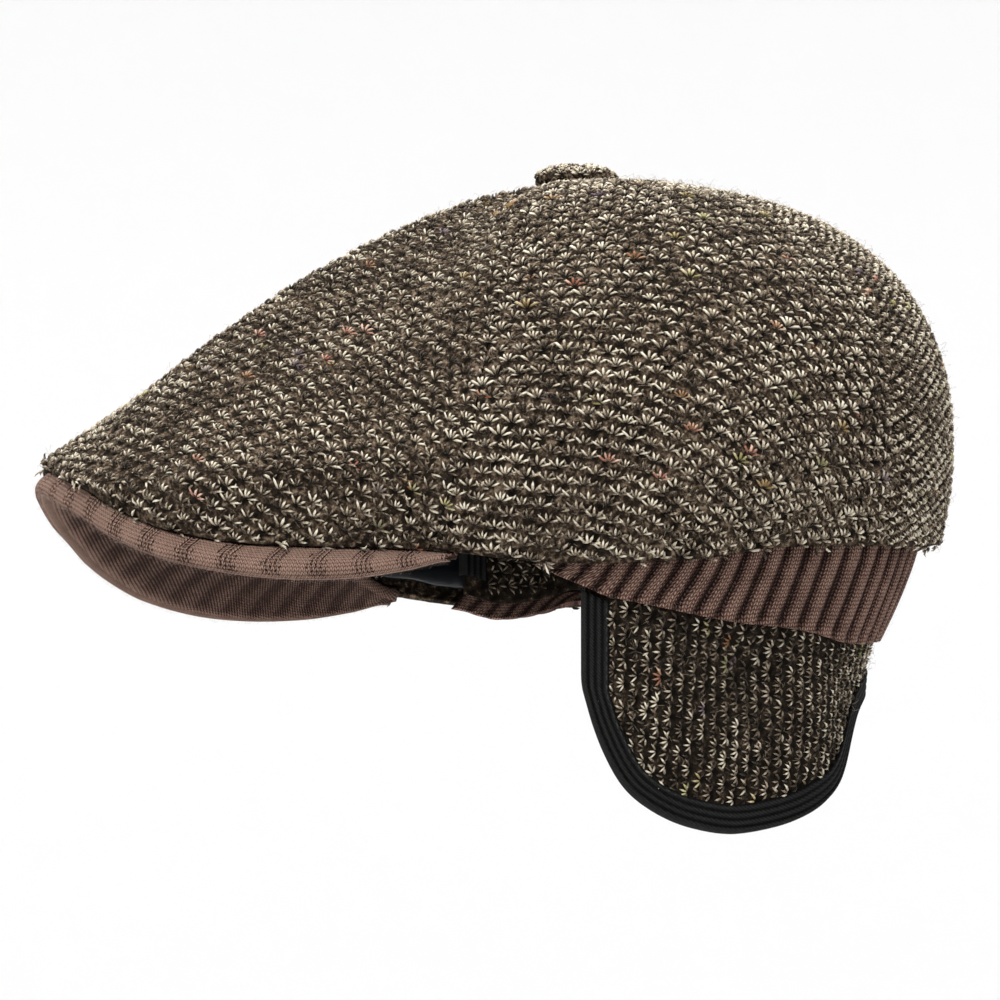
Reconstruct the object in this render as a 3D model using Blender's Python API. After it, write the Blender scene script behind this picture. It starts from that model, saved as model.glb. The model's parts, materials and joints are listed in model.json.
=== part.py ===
"""Earflap flat cap: a knitted crown in four panels with a button, a ribbed peak and band,
a satin lining, and one wrap-around earflap with a bound edge. Its left half hangs down over
the ear and its right half is turned up inside the crown.

The cap faces -Y and the wearer's left side is +X. The origin is the centre of the head
opening at hat-line height. Sizes are in millimetres and become metres when a mesh is made.

Most surfaces are worked out on turns about the button's upright axis: the angle is 0 at the
front, 90 on the wearer's left, 180 at the back and 270 on the wearer's right."""

import math

import bmesh
import bpy
import numpy as np

MM = 0.001
GAP = 0.3
AXIS_Y = 4.0
SLOPE_STEP = 0.01
SHARE_STEP = 0.001
SHARP_EDGE = 50.0

CROWN_TOP = 121.5
CROWN_WALL = 2.5
SEAM_ANGLE = {"front_rim": 54.0, "front_top": 64.0, "rear": 142.0}
SEAM_SWING = 8
SEAM_DIP = 0.9
SEAM_WIDTH = 5.0
SEAM_FADE = 8.0
SHOULDER_CLEAR = 2.0
ARC_LENGTH = 0.9
CROWN_ROWS = 13
CROWN_ROW_EASE = 0.9
CROWN_END = 0.985
PANEL_COLUMNS = {"front": 18, "side": 13, "back": 12}

BUTTON_RADIUS = 12.8
BUTTON_RISE = 5.6
BUTTON_SIDES = 20
BUTTON_RINGS = (-60.0, -20.0, 15.0, 45.0, 72.0)
BUTTON_ROUND = 0.6

PEAK_ANGLE = 58.0
PEAK_STATIONS = 30
PEAK_PLATE = 5.0
PEAK_ARCH = 2.5
PEAK_SEAT = 0.65

BAND_WALL = 2.5
BAND_TUCK = 4.5
BAND_ANGLES = (76.0, 287.0)
RIB_COUNT = 46
RIB_DEPTH = 1.1
RIB_LEAN = 6.5
RIB_LEAN_SPREAD = 1.35
BAND_BEND = 1.35

LINING_WALL = 1.0
LINING_INSET = 4.2
LINING_LIFT = 5.0
LINING_BEHIND_BROW = 1.6
LINING_COLUMNS = 40
LINING_ROWS = 9
LINING_END = 0.96
TEMPLE_ANGLES = (46.0, 60.0)

FLAP_WALL = 2.2
FLAP_OVERLAP = 5.0
FLAP_ANGLES = (81.8, 290.0)
FLAP_COLUMNS = 58
FLAP_COLUMN_EASE = 0.11
FLAP_ROWS = 7
FLAP_TAPER = 0.07
FLAP_LEAN = 0.09
FLAP_LEAN_START = 10.0
FLAP_TURN = (180.0, 207.0)
FLAP_TURN_INSET = 1.5
FLAP_RADIUS = 78.0
DENT_START = (5.0, 13.0)

TAPE_WALL = 0.8
TAPE_WIDTH = 8.5
TAPE_STEPS_ON_FRONT = 5

MATERIALS = {
    "knit": {"colour": (0.2, 0.155, 0.12), "roughness": 0.95},
    "ribbing": {"colour": (0.2, 0.115, 0.085), "roughness": 0.9},
    "satin": {"colour": (0.02, 0.022, 0.028), "roughness": 0.35},
    "tape": {"colour": (0.018, 0.018, 0.02), "roughness": 0.7},
}

# The crown's lower edge: angle, distance from the axis, height.
RIM = {
    "angle": (0, 6, 12, 16, 20, 25, 29, 35, 40, 45, 53, 60, 69, 82, 94, 107, 119, 132, 138, 146,
              159, 170, 180),
    "radius": (163.5, 163, 161.3, 159.2, 156.5, 151.3, 146, 134.7, 121.5, 109.5, 97, 91.8, 87.7,
               84.8, 86.2, 89.2, 91.8, 96.3, 99.7, 103.7, 107.8, 111.2, 113),
    "height": (29.5, 27.3, 23, 19.5, 14.3, 8.2, 4.5, 1.3, 0.6, 0.4, 0, -1.2, -3, -4.2, -3.6, -2,
               1.4, 3, 3.7, 4.6, 6.5, 9, 11),
}

# How the crown rises from that edge: it swells to a shoulder, then closes to the button.
SWELL = {
    "angle": (0, 15, 34, 60, 90, 120, 145, 180),
    "out": (0.5, 2, 5, 8, 9, 8, 6, 4.3),
    "shoulder": (33, 22, 20, 28, 34, 36, 38, 42),
    "reach_power": (1.37, 1.22, 1.27, 0.98, 1.0, 0.9, 0.84, 0.68),
    "rise_power": (2.15, 1.82, 1.98, 1.35, 1.0, 0.9, 0.9, 0.89),
}

# The peak's lower edge, out from and below the crown's edge.
LIP = {
    "angle": (0, 7, 13, 20, 27, 34, 40, 46, 52, 58),
    "out": (2.5, 2.3, 2, 2, 3, 4.5, 5, 4.8, 4, 2.5),
    "drop": (7, 7, 8, 8.5, 8, 8.6, 9.6, 8.7, 6, 2.5),
}

# The peak's inner edge, round the forehead.
FOREHEAD = {
    "angle": (0, 18, 36, 48, 58),
    "radius": (102, 99.5, 93.5, 89.8, 88.6),
    "height": (26, 21.5, 11, 3, -2.5),
}

# The band's upper inset behind the crown's edge, and its lower edge.
BAND = {
    "angle": (73, 77.5, 82, 87, 98, 108, 117, 127, 135, 144, 154, 166, 180, 193, 206, 225, 245,
              260, 269, 275, 281, 290),
    "inset": (3, 3, 3, 3, 3, 3, 3.5, 4, 4.5, 5, 5, 4.8, 4.8, 4.8, 5, 4.5, 3.5, 3, 3, 3, 3, 3),
    "radius": (83.5, 81.9, 80.9, 80.1, 79.9, 80.8, 83.1, 86, 88, 89.5, 91, 92.8, 94.3, 93.3, 91.5,
               88, 84.5, 82, 80.8, 80.5, 81, 83.5),
    "height": (-4, -7.4, -10, -13, -16, -18.5, -20.2, -21, -22.2, -24, -23.6, -21.5, -20, -19.5,
               -18, -14, -8.5, -3, -6, -7.6, -8, -5),
}

# How deep the earflap is below its seam inside the band.
FLAP = {
    "angle": (81.8, 84, 87, 91, 96, 103.5, 112, 119, 128, 136, 144, 150, 154, 159, 166, 180,
              193, 206, 214, 222, 232, 245, 258, 268, 277, 285, 290),
    "depth": (35, 42.5, 50.5, 58, 62.5, 65.5, 66.4, 66, 63.3, 58.8, 52, 46.3, 41, 34, 26.5, 21,
              20, 21, 32, 45, 55, 62, 64, 61, 54, 42, 30),
}

# Dents and bulges of the hanging flap: angle, depth below its seam, reach, outward push.
FLAP_DENTS = (
    {"angle": 121, "depth": 17, "reach": 13, "push": -4.5},
    {"angle": 138, "depth": 28, "reach": 18, "push": 2.0},
    {"angle": 161, "depth": 24, "reach": 26, "push": -3.0},
    {"angle": 98, "depth": 34, "reach": 24, "push": 1.5},
)


def curve(table, column, angle):
    """One column of a table at any angle, on a smooth curve through its rows."""
    keys = np.asarray(table["angle"], float)
    values = np.asarray(table[column], float)
    slopes = np.zeros(len(keys))
    slopes[1:-1] = (values[2:] - values[:-2]) / (keys[2:] - keys[:-2])
    angle = np.clip(np.asarray(angle, float), keys[0], keys[-1])
    row = np.clip(np.searchsorted(keys, angle, side="right") - 1, 0, len(keys) - 2)
    width = keys[row + 1] - keys[row]
    t = (angle - keys[row]) / width
    start = values[row] * (1 + 2 * t) * (1 - t) ** 2 + slopes[row] * width * t * (1 - t) ** 2
    end = values[row + 1] * t * t * (3 - 2 * t) - slopes[row + 1] * width * t * t * (1 - t)
    return start + end


def folded(angle):
    """The same angle on the wearer's left half, for what is alike on both sides."""
    angle = np.mod(np.asarray(angle, float), 360.0)
    return np.where(angle > 180.0, 360.0 - angle, angle)


def ease(start, end, value):
    """0 before start, 1 after end, and smooth between."""
    t = np.clip((np.asarray(value, float) - start) / (end - start), 0.0, 1.0)
    return t * t * (3 - 2 * t)


def place(angle, radius, height):
    """A point from its turn about the button's axis."""
    turn = np.radians(angle)
    x = radius * np.sin(turn)
    y = AXIS_Y - radius * np.cos(turn)
    return np.stack(np.broadcast_arrays(x, y, height), axis=-1)


def front_seam(share):
    """Angle of the seam between front and side panel, at a share of the way to the button."""
    swing = SEAM_ANGLE["front_top"] - SEAM_ANGLE["front_rim"]
    return SEAM_ANGLE["front_rim"] + swing * (1 - (1 - share) ** SEAM_SWING)


def rear_seam(share):
    """Angle of the seam between side and back panel, which runs straight to the button."""
    return np.full_like(share, SEAM_ANGLE["rear"])


def crown_profile(angle, share, rim_radius, rim_height, top):
    """Radius and height on one rise of a dome, from its edge (0) to the button (1)."""
    side = folded(angle)
    shoulder = np.maximum(curve(SWELL, "shoulder", side), rim_height + SHOULDER_CLEAR)
    wide = rim_radius * (1 + curve(SWELL, "out", side) / curve(RIM, "radius", side))
    low = shoulder - rim_height
    high = ARC_LENGTH * (wide + top - shoulder)
    split = low / (low + high)
    down = np.clip((split - share) / split, 0.0, 1.0)
    up = np.clip((share - split) / (1 - split), 0.0, 1.0) * math.pi / 2
    radius = np.where(
        share < split,
        wide - (wide - rim_radius) * down**2,
        wide * np.cos(up).clip(0) ** curve(SWELL, "reach_power", side),
    )
    height = np.where(
        share < split,
        shoulder - low * down,
        shoulder + (top - shoulder) * np.sin(up) ** curve(SWELL, "rise_power", side),
    )
    return radius, height


def seam_dip(angle, share, radius):
    """How far the crown is drawn in beside its four seams."""
    side = folded(angle)
    dip = 0.0
    for seam in (front_seam(share), rear_seam(share)):
        away = np.radians(side - seam) * radius / SEAM_WIDTH
        dip = dip + SEAM_DIP * np.exp(-(away**2))
    return dip * np.minimum(1.0, (1 - share) * SEAM_FADE)


def crown_face(angle, share):
    """The crown's outer face."""
    side = folded(angle)
    radius, height = crown_profile(
        angle, share, curve(RIM, "radius", side), curve(RIM, "height", side), CROWN_TOP
    )
    return place(angle, radius - seam_dip(angle, share, radius), height)


def lining_face(angle, share):
    """The lining's outer face, from the forehead edge and the band up to the button."""
    side = folded(angle)
    front = curve(FOREHEAD, "radius", side) + LINING_BEHIND_BROW
    behind = curve(RIM, "radius", side) - LINING_INSET
    blend = ease(*TEMPLE_ANGLES, side)
    radius = front + (behind - front) * blend
    over_peak = curve(FOREHEAD, "height", side) + PEAK_PLATE + 2 * GAP
    over_band = curve(RIM, "height", side) + LINING_LIFT
    height = over_peak + (over_band - over_peak) * blend
    top = CROWN_TOP - CROWN_WALL - SEAM_DIP
    return place(angle, *crown_profile(angle, share, radius, height, top))


def band_face(angle, share, inset):
    """The band from its hidden upper edge (0) to its lower edge (1), inset by a distance."""
    angle = angle + RIB_LEAN * share * np.sin(np.radians(angle - 180.0) * RIB_LEAN_SPREAD)
    side = folded(angle)
    top_radius = curve(RIM, "radius", side) - curve(BAND, "inset", angle)
    top = curve(RIM, "height", side) + BAND_TUCK
    radius = top_radius + (curve(BAND, "radius", angle) - top_radius) * share**BAND_BEND
    height = top + (curve(BAND, "height", angle) - top) * share
    return place(angle, radius - inset, height)


def flap_turn(angle):
    """How far the flap is turned up into the cap: 0 hangs down, 1 lies up inside."""
    return ease(*FLAP_TURN, angle)


def flap_face(angle, depth, off=0.0):
    """The flap's middle face at a depth below its seam, or off that face by a distance."""
    turn = flap_turn(angle)
    swing = math.pi * turn
    seam_radius = curve(BAND, "radius", angle) - BAND_WALL - GAP - FLAP_WALL / 2
    seam_radius = seam_radius - FLAP_TURN_INSET * turn
    seam_height = curve(BAND, "height", angle) + FLAP_OVERLAP
    push = 0.0
    for dent in FLAP_DENTS:
        along = np.radians(angle - dent["angle"]) * seam_radius
        away = (along**2 + (depth - dent["depth"]) ** 2) / dent["reach"] ** 2
        push = push + dent["push"] * np.exp(-away)
    push = push * ease(*DENT_START, depth) * (1 - turn)
    hang = -FLAP_TAPER * depth * (1 - turn)
    lean = FLAP_LEAN * np.maximum(depth - FLAP_LEAN_START, 0.0) * turn
    out = push + hang + lean
    radius = seam_radius - depth * np.sin(swing) + out * np.cos(swing) ** 2
    height = seam_height - depth * np.cos(swing)
    radius = radius + off * np.cos(swing)
    height = height - off * np.sin(swing)
    return place(angle, radius, height)


def unit_normal(face, angle, share):
    """Outward unit normals of a dome's face, from its slopes round and up."""
    along = face(angle + SLOPE_STEP, share) - face(angle - SLOPE_STEP, share)
    up = face(angle, share + SHARE_STEP) - face(angle, share - SHARE_STEP)
    normal = np.cross(along, up)
    return normal / np.linalg.norm(normal, axis=-1, keepdims=True)


def add_object(name, finish, points, faces):
    """Make one closed mesh object with its own material of a named finish."""
    mesh = bpy.data.meshes.new(name)
    mesh.from_pydata([tuple(p * MM) for p in points], [], faces)
    work = bmesh.new()
    work.from_mesh(mesh)
    bmesh.ops.recalc_face_normals(work, faces=work.faces)
    work.to_mesh(mesh)
    work.free()
    mesh.validate()
    mesh.shade_smooth()
    mesh.set_sharp_from_angle(angle=math.radians(SHARP_EDGE))
    thing = bpy.data.objects.new(name, mesh)
    bpy.context.scene.collection.objects.link(thing)
    material = bpy.data.materials.new(name)
    material.use_nodes = True
    shader = material.node_tree.nodes["Principled BSDF"]
    shader.inputs["Base Color"].default_value = (*MATERIALS[finish]["colour"], 1.0)
    shader.inputs["Roughness"].default_value = MATERIALS[finish]["roughness"]
    shader.inputs["Metallic"].default_value = 0.0
    mesh.materials.append(material)


def sheet_solid(outer, inner):
    """Points and faces of a wall between two grids of rows by columns, closed all round."""
    rows, columns = outer.shape[:2]
    size = rows * columns
    faces = []
    for r in range(rows - 1):
        for c in range(columns - 1):
            a = r * columns + c
            faces.append((a, a + 1, a + 1 + columns, a + columns))
            faces.append(tuple(size + i for i in (a, a + columns, a + 1 + columns, a + 1)))
    edge = list(range(columns))
    edge += [r * columns + columns - 1 for r in range(1, rows)]
    edge += [(rows - 1) * columns + c for c in range(columns - 2, -1, -1)]
    edge += [r * columns for r in range(rows - 2, 0, -1)]
    for here, there in zip(edge, edge[1:] + edge[:1]):
        faces.append((here, size + here, size + there, there))
    return np.concatenate([outer.reshape(-1, 3), inner.reshape(-1, 3)]), faces


def tube_solid(rings):
    """Points and faces of a solid swept through equal rings of points, capped at both ends."""
    count, size = rings.shape[:2]
    faces = []
    for ring in range(count - 1):
        for i in range(size):
            j = (i + 1) % size
            a = ring * size
            faces.append((a + i, a + j, a + size + j, a + size + i))
    faces.append(tuple(range(size)))
    faces.append(tuple((count - 1) * size + i for i in range(size)))
    return rings.reshape(-1, 3), faces


def panel(name, start, end, columns):
    """One crown panel between two seams, each a function of the share of the way up."""
    share = np.linspace(0.0, 1.0, CROWN_ROWS + 1)[:, None] ** CROWN_ROW_EASE * CROWN_END
    radius = np.linalg.norm(crown_face(90.0, share)[..., :2] - (0, AXIS_Y), axis=-1)
    clear = np.degrees(GAP / 2 / np.maximum(radius, 1.0))
    low = start(share) + clear
    high = end(share) - clear
    angle = low + (high - low) * np.linspace(0.0, 1.0, columns + 1)[None, :]
    share = np.broadcast_to(share, angle.shape)
    outer = crown_face(angle, share)
    inner = outer - CROWN_WALL * unit_normal(crown_face, angle, share)
    add_object(name, "knit", *sheet_solid(outer, inner))


def make_crown():
    """Front, two sides and back, which meet under the button."""
    front, side, back = (PANEL_COLUMNS[name] for name in ("front", "side", "back"))
    panel("crown_front", lambda share: -front_seam(share), front_seam, front)
    panel("crown_side_left", front_seam, rear_seam, side)
    panel("crown_side_right", lambda s: 360 - rear_seam(s), lambda s: 360 - front_seam(s), side)
    panel("crown_back", rear_seam, lambda share: 360 - rear_seam(share), back)


def make_button():
    """A covered button: a low bun over the point where the panels meet."""
    base = CROWN_TOP + GAP
    steps = np.radians(BUTTON_RINGS)
    lowest = math.sin(steps[0])
    points = []
    for step in steps:
        radius = BUTTON_RADIUS * math.cos(step) ** BUTTON_ROUND
        height = base + BUTTON_RISE * (math.sin(step) - lowest) / (1 - lowest)
        for side in range(BUTTON_SIDES):
            points.append(place(360.0 * side / BUTTON_SIDES, radius, height))
    top = base + BUTTON_RISE
    points.append(place(0.0, 0.0, top))
    points.append(place(0.0, 0.0, base))
    faces = []
    for ring in range(len(steps) - 1):
        for i in range(BUTTON_SIDES):
            j = (i + 1) % BUTTON_SIDES
            a = ring * BUTTON_SIDES
            faces.append((a + i, a + j, a + BUTTON_SIDES + j, a + BUTTON_SIDES + i))
    last = (len(steps) - 1) * BUTTON_SIDES
    for i in range(BUTTON_SIDES):
        j = (i + 1) % BUTTON_SIDES
        faces.append((last + i, last + j, len(points) - 2))
        faces.append((j, i, len(points) - 1))
    add_object("button", "knit", np.array(points), faces)


def peak_section(angle):
    """Corners of the peak's section at one angle, as radius and height."""
    side = folded(angle)
    rim, edge = curve(RIM, "radius", side), curve(RIM, "height", side)
    out, drop = curve(LIP, "out", side), curve(LIP, "drop", side)
    inner, brow = curve(FOREHEAD, "radius", side), curve(FOREHEAD, "height", side)
    tuck = rim - CROWN_WALL - 3 * GAP
    seat = edge - PEAK_SEAT
    lip, low = rim + out - 1.5, edge - drop
    arch = PEAK_ARCH * (1 - (side / PEAK_ANGLE) ** 2)
    return (
        (lip, low),
        (rim + out + 0.5, low + 0.2 * drop),
        (rim + 0.85 * out, low + 0.55 * drop),
        (rim + 0.2 * out - 0.4, seat - 0.1 * drop),
        (rim - 0.8, seat),
        (tuck, seat),
        (min(inner + 2.2, tuck), brow + PEAK_PLATE),
        (inner, brow + 0.6 * PEAK_PLATE),
        (inner + 0.8, brow),
        (inner + 0.36 * (lip - inner), brow + 0.36 * (low - brow) + arch),
        (inner + 0.72 * (lip - inner), brow + 0.72 * (low - brow) + arch),
    )


def make_peak():
    """The stiff peak: its rolled lip shows below the crown, the rest lies under it."""
    rings = []
    for angle in np.linspace(-PEAK_ANGLE, PEAK_ANGLE, PEAK_STATIONS + 1):
        rings.append([place(angle, r, z) for r, z in peak_section(angle)])
    add_object("peak", "ribbing", *tube_solid(np.array(rings)))


def make_band():
    """Ribbed band from temple to temple round the back, with two columns for each rib."""
    angle = np.linspace(*BAND_ANGLES, 2 * RIB_COUNT + 1)
    share = np.array((0.0, 0.45, 0.8, 1.0))[:, None]
    angle, share = np.broadcast_arrays(angle[None, :], share)
    valley = np.where(np.arange(2 * RIB_COUNT + 1) % 2 == 0, RIB_DEPTH, 0.0)
    outer = band_face(angle, share, valley[None, :] * np.ones_like(share))
    inner = band_face(angle, share, BAND_WALL)
    add_object("band", "ribbing", *sheet_solid(outer, inner))


def make_lining():
    """Satin dome inside the crown, closed at the top."""
    angle = np.linspace(0.0, 360.0, LINING_COLUMNS, endpoint=False)[None, :]
    share = np.linspace(0.0, LINING_END, LINING_ROWS + 1)[:, None]
    angle, share = np.broadcast_arrays(angle, share)
    outer = lining_face(angle, share)
    inner = outer - LINING_WALL * unit_normal(lining_face, angle, share + SHARE_STEP)
    top = CROWN_TOP - CROWN_WALL - SEAM_DIP
    points = np.concatenate([
        outer.reshape(-1, 3),
        inner.reshape(-1, 3),
        [place(0.0, 0.0, top)],
        [place(0.0, 0.0, top - LINING_WALL)],
    ])
    rows, columns = outer.shape[:2]
    size = rows * columns
    faces = []
    for c in range(columns):
        d = (c + 1) % columns
        for r in range(rows - 1):
            a, b = r * columns, (r + 1) * columns
            faces.append((a + c, a + d, b + d, b + c))
            faces.append((size + a + c, size + b + c, size + b + d, size + a + d))
        faces.append((c, size + c, size + d, d))
        last = (rows - 1) * columns
        faces.append((last + c, last + d, 2 * size))
        faces.append((size + last + d, size + last + c, 2 * size + 1))
    add_object("lining", "satin", points, faces)


def flap_columns(count):
    """Angles of the flap's columns, closer together at its two front edges."""
    low, high = FLAP_ANGLES
    t = np.linspace(0.0, 1.0, count + 1)
    eased = t - FLAP_COLUMN_EASE * np.sin(2 * math.pi * t)
    return low + (high - low) * eased


def edge_slope(angle):
    """How fast the flap's free edge drops along its length."""
    rise = curve(FLAP, "depth", angle + SLOPE_STEP) - curve(FLAP, "depth", angle - SLOPE_STEP)
    radius = curve(BAND, "radius", angle) - BAND_WALL
    return rise / (2 * math.radians(SLOPE_STEP) * radius)


def make_earflap():
    """Knitted flap in one piece round the back of the head."""
    margin = TAPE_WALL + 2 * GAP
    side = math.degrees(margin / FLAP_RADIUS)
    angle = np.clip(flap_columns(FLAP_COLUMNS), FLAP_ANGLES[0] + side, FLAP_ANGLES[1] - side)
    reach = curve(FLAP, "depth", angle) - margin * np.sqrt(1 + edge_slope(angle) ** 2)
    depth = np.linspace(0.0, 1.0, FLAP_ROWS + 1)[:, None] * reach[None, :]
    angle = np.broadcast_to(angle[None, :], depth.shape)
    outer = flap_face(angle, depth, FLAP_WALL / 2)
    inner = flap_face(angle, depth, -FLAP_WALL / 2)
    add_object("earflap", "knit", *sheet_solid(outer, inner))


def tape_path():
    """The flap's free edge as angle and depth: down one front edge, round, and up the other."""
    bottom = flap_columns(FLAP_COLUMNS)
    first, last = bottom[0], bottom[-1]
    start = FLAP_OVERLAP + 1.0
    front = np.linspace(start, curve(FLAP, "depth", first), TAPE_STEPS_ON_FRONT + 1)[:-1]
    back = np.linspace(curve(FLAP, "depth", last), start, TAPE_STEPS_ON_FRONT + 1)[1:]
    angle = np.concatenate([np.full(len(front), first), bottom, np.full(len(back), last)])
    depth = np.concatenate([front, curve(FLAP, "depth", bottom), back])
    return angle, depth


def make_binding():
    """Woven tape folded over the flap's free edge."""
    angle, depth = tape_path()
    radius = curve(BAND, "radius", angle) - BAND_WALL
    along = np.gradient(np.radians(angle) * radius)
    down = np.gradient(depth)
    length = np.hypot(along, down)
    inward_along, inward_down = down / length, -along / length
    face = FLAP_WALL / 2 + GAP + TAPE_WALL
    slot = FLAP_WALL / 2 + GAP
    section = (
        (TAPE_WIDTH, face), (1.0, face), (0.0, 0.5 * face), (0.0, -0.5 * face), (1.0, -face),
        (TAPE_WIDTH, -face), (TAPE_WIDTH, -slot), (TAPE_WALL, -slot), (TAPE_WALL, slot),
        (TAPE_WIDTH, slot),
    )
    rings = []
    for inset, off in section:
        turn = angle + np.degrees(inset * inward_along / radius)
        rings.append(flap_face(turn, depth + inset * inward_down, off))
    rings = np.stack(rings, axis=1)
    add_object("earflap_binding", "tape", *tube_solid(rings))


def main():
    for thing in list(bpy.data.objects):
        bpy.data.objects.remove(thing, do_unlink=True)
    make_crown()
    make_button()
    make_peak()
    make_band()
    make_lining()
    make_earflap()
    make_binding()


main()
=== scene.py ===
"""Earflap flat cap: the finish of its pieces, the studio round it and the camera.

The tables and shapes are in millimetres, as in the part's source, and become metres in a mesh.
Angles turn about the button's upright axis: 0 front, 90 the wearer's left, 180 back."""

import json
import math

import bpy
import numpy as np
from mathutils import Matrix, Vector
from mathutils.kdtree import KDTree

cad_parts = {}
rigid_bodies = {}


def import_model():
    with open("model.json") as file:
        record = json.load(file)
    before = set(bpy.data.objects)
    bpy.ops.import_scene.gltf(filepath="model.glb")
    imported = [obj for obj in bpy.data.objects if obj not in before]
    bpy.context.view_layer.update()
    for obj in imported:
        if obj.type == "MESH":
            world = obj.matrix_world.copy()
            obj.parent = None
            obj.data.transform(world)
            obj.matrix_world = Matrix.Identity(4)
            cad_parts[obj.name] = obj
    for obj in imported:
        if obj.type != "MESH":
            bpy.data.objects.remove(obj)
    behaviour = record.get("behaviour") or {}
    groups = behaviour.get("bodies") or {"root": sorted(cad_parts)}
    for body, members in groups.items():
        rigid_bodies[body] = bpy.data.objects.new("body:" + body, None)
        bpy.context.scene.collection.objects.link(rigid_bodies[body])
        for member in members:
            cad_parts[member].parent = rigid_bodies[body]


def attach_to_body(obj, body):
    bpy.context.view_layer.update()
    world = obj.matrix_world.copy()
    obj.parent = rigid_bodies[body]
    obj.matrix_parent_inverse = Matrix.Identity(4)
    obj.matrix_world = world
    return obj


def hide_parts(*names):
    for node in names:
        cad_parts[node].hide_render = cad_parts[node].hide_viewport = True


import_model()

bl_info = {
    "name": "Earflap flat cap",
    "version": (1, 0, 0),
    "blender": (4, 5, 0),
    "location": "3D view > Sidebar > Cap",
    "description": "Builds a knitted earflap flat cap round its packed frame",
    "category": "Object",
}

MM = 0.001
GAP = 0.3
AXIS_Y = 4.0
CROWN_TOP = 121.5
CROWN_WALL = 2.5
CROWN_END = 0.985
SHOULDER_CLEAR = 2.0
ARC_LENGTH = 0.9
SEAM_ANGLE = {"front_rim": 54.0, "front_top": 64.0, "rear": 142.0}
SEAM_SWING = 8
SEAM_DIP = 0.9
SEAM_WIDTH = 5.0
SEAM_FADE = 8.0
BUTTON_RADIUS = 12.8
BUTTON_RISE = 5.6
PEAK_ANGLE = 58.0
PEAK_PLATE = 5.0
PEAK_ARCH = 2.5
PEAK_SEAT = 0.65
BAND_WALL = 2.5
BAND_TUCK = 4.5
BAND_ANGLES = (76.0, 287.0)
RIB_COUNT = 46
RIB_COLUMNS = 12
BAND_ROW = 2.4
RIB_LEAN = 6.5
RIB_LEAN_SPREAD = 1.35
BAND_BEND = 1.35
LINING_WALL = 1.0
LINING_INSET = 4.2
LINING_LIFT = 5.0
LINING_BEHIND_BROW = 1.6
LINING_END = 0.96
TEMPLE_ANGLES = (46.0, 60.0)
FLAP_WALL = 2.2
FLAP_OVERLAP = 5.0
FLAP_ANGLES = (81.8, 290.0)
FLAP_TAPER = 0.07
FLAP_LEAN = 0.09
FLAP_LEAN_START = 10.0
FLAP_TURN = (180.0, 207.0)
FLAP_TURN_INSET = 1.5
FLAP_RADIUS = 78.0
DENT_START = (5.0, 13.0)
TAPE_WALL = 0.8
TAPE_WIDTH = 8.5
TAPE_RIDGE = 0.4
EDGE_ROUND = 0.45
STAR_REACH = 3.0
PEAK_PERIOD = 13.0
RIDGE_COUNT = 4
RIDGE_PITCH = 1.35
UNDER_STRIPE = 13.0
CUT_UNIT = 100.0
SPRING_ROUNDS = 500
SPRING_PULL = 0.11
STITCH_JITTER = 0.22
STITCH_FIND = 3.0
SIZE_SPREAD = 0.12
FLECK_SHARE = 0.035
FIBRE_SCALE = 1500.0
TONE_SCALE = 160.0
PANEL_MARGINS = (-0.4, -0.4, -1.0, 1.0)
BUTTON_STARS = 130
BUTTON_ROUND = 0.985
PEAK_STATIONS = 760
PEAK_COUNTS = (5, 6, 6, 4, 1, 2, 1, 2, 7, 7, 6)
PEAK_FIBRES = 2400
BAND_FIBRES = 1800
FLAP_FIBRES = 700
TAPE_RIDGE_PITCH = 2.1
SEEDS = {"button": 5, "button_stars": 6, "peak": 31, "peak_fibres": 32, "band": 41,
         "band_fibres": 42, "flap": 51, "out": 52, "in": 53, "flap_place": 58, "flap_fibres": 59,
         "thread": 61, "lining": 71}

# The studio and the camera, in metres and degrees.
FLOOR = {"height": -1.0, "flat": 2.4, "corner": 1.4, "wall": 5.0, "sides": 96, "rings": 12}
AIR_LIGHT = 0.47
LIGHTS = (
    {"name": "key", "at": (1.3, -1.2, 2.1), "size": 1.0, "power": 75.0},
    {"name": "top", "at": (0.1, 0.2, 2.4), "size": 1.4, "power": 50.0},
    {"name": "fill", "at": (1.9, 1.3, 0.4), "size": 1.6, "power": 9.0},
    {"name": "far_fill", "at": (-2.0, -0.4, 0.9), "size": 1.8, "power": 22.0},
)
CAMERA = {"aim": (0.0, -0.020, 0.023), "turn": 82.0, "lift": -6.0, "distance": 1.3,
          "view_width": 0.309, "sensor": 36.0}

# The crown's lower edge: angle, distance from the axis, height.
RIM = {
    "angle": (0, 6, 12, 16, 20, 25, 29, 35, 40, 45, 53, 60, 69, 82, 94, 107, 119, 132, 138, 146,
              159, 170, 180),
    "radius": (163.5, 163, 161.3, 159.2, 156.5, 151.3, 146, 134.7, 121.5, 109.5, 97, 91.8, 87.7,
               84.8, 86.2, 89.2, 91.8, 96.3, 99.7, 103.7, 107.8, 111.2, 113),
    "height": (29.5, 27.3, 23, 19.5, 14.3, 8.2, 4.5, 1.3, 0.6, 0.4, 0, -1.2, -3, -4.2, -3.6, -2,
               1.4, 3, 3.7, 4.6, 6.5, 9, 11),
}

# How the crown rises from that edge: it swells to a shoulder, then closes to the button.
SWELL = {
    "angle": (0, 15, 34, 60, 90, 120, 145, 180),
    "out": (0.5, 2, 5, 8, 9, 8, 6, 4.3),
    "shoulder": (33, 22, 20, 28, 34, 36, 38, 42),
    "reach_power": (1.37, 1.22, 1.27, 0.98, 1.0, 0.9, 0.84, 0.68),
    "rise_power": (2.15, 1.82, 1.98, 1.35, 1.0, 0.9, 0.9, 0.89),
}

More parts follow.
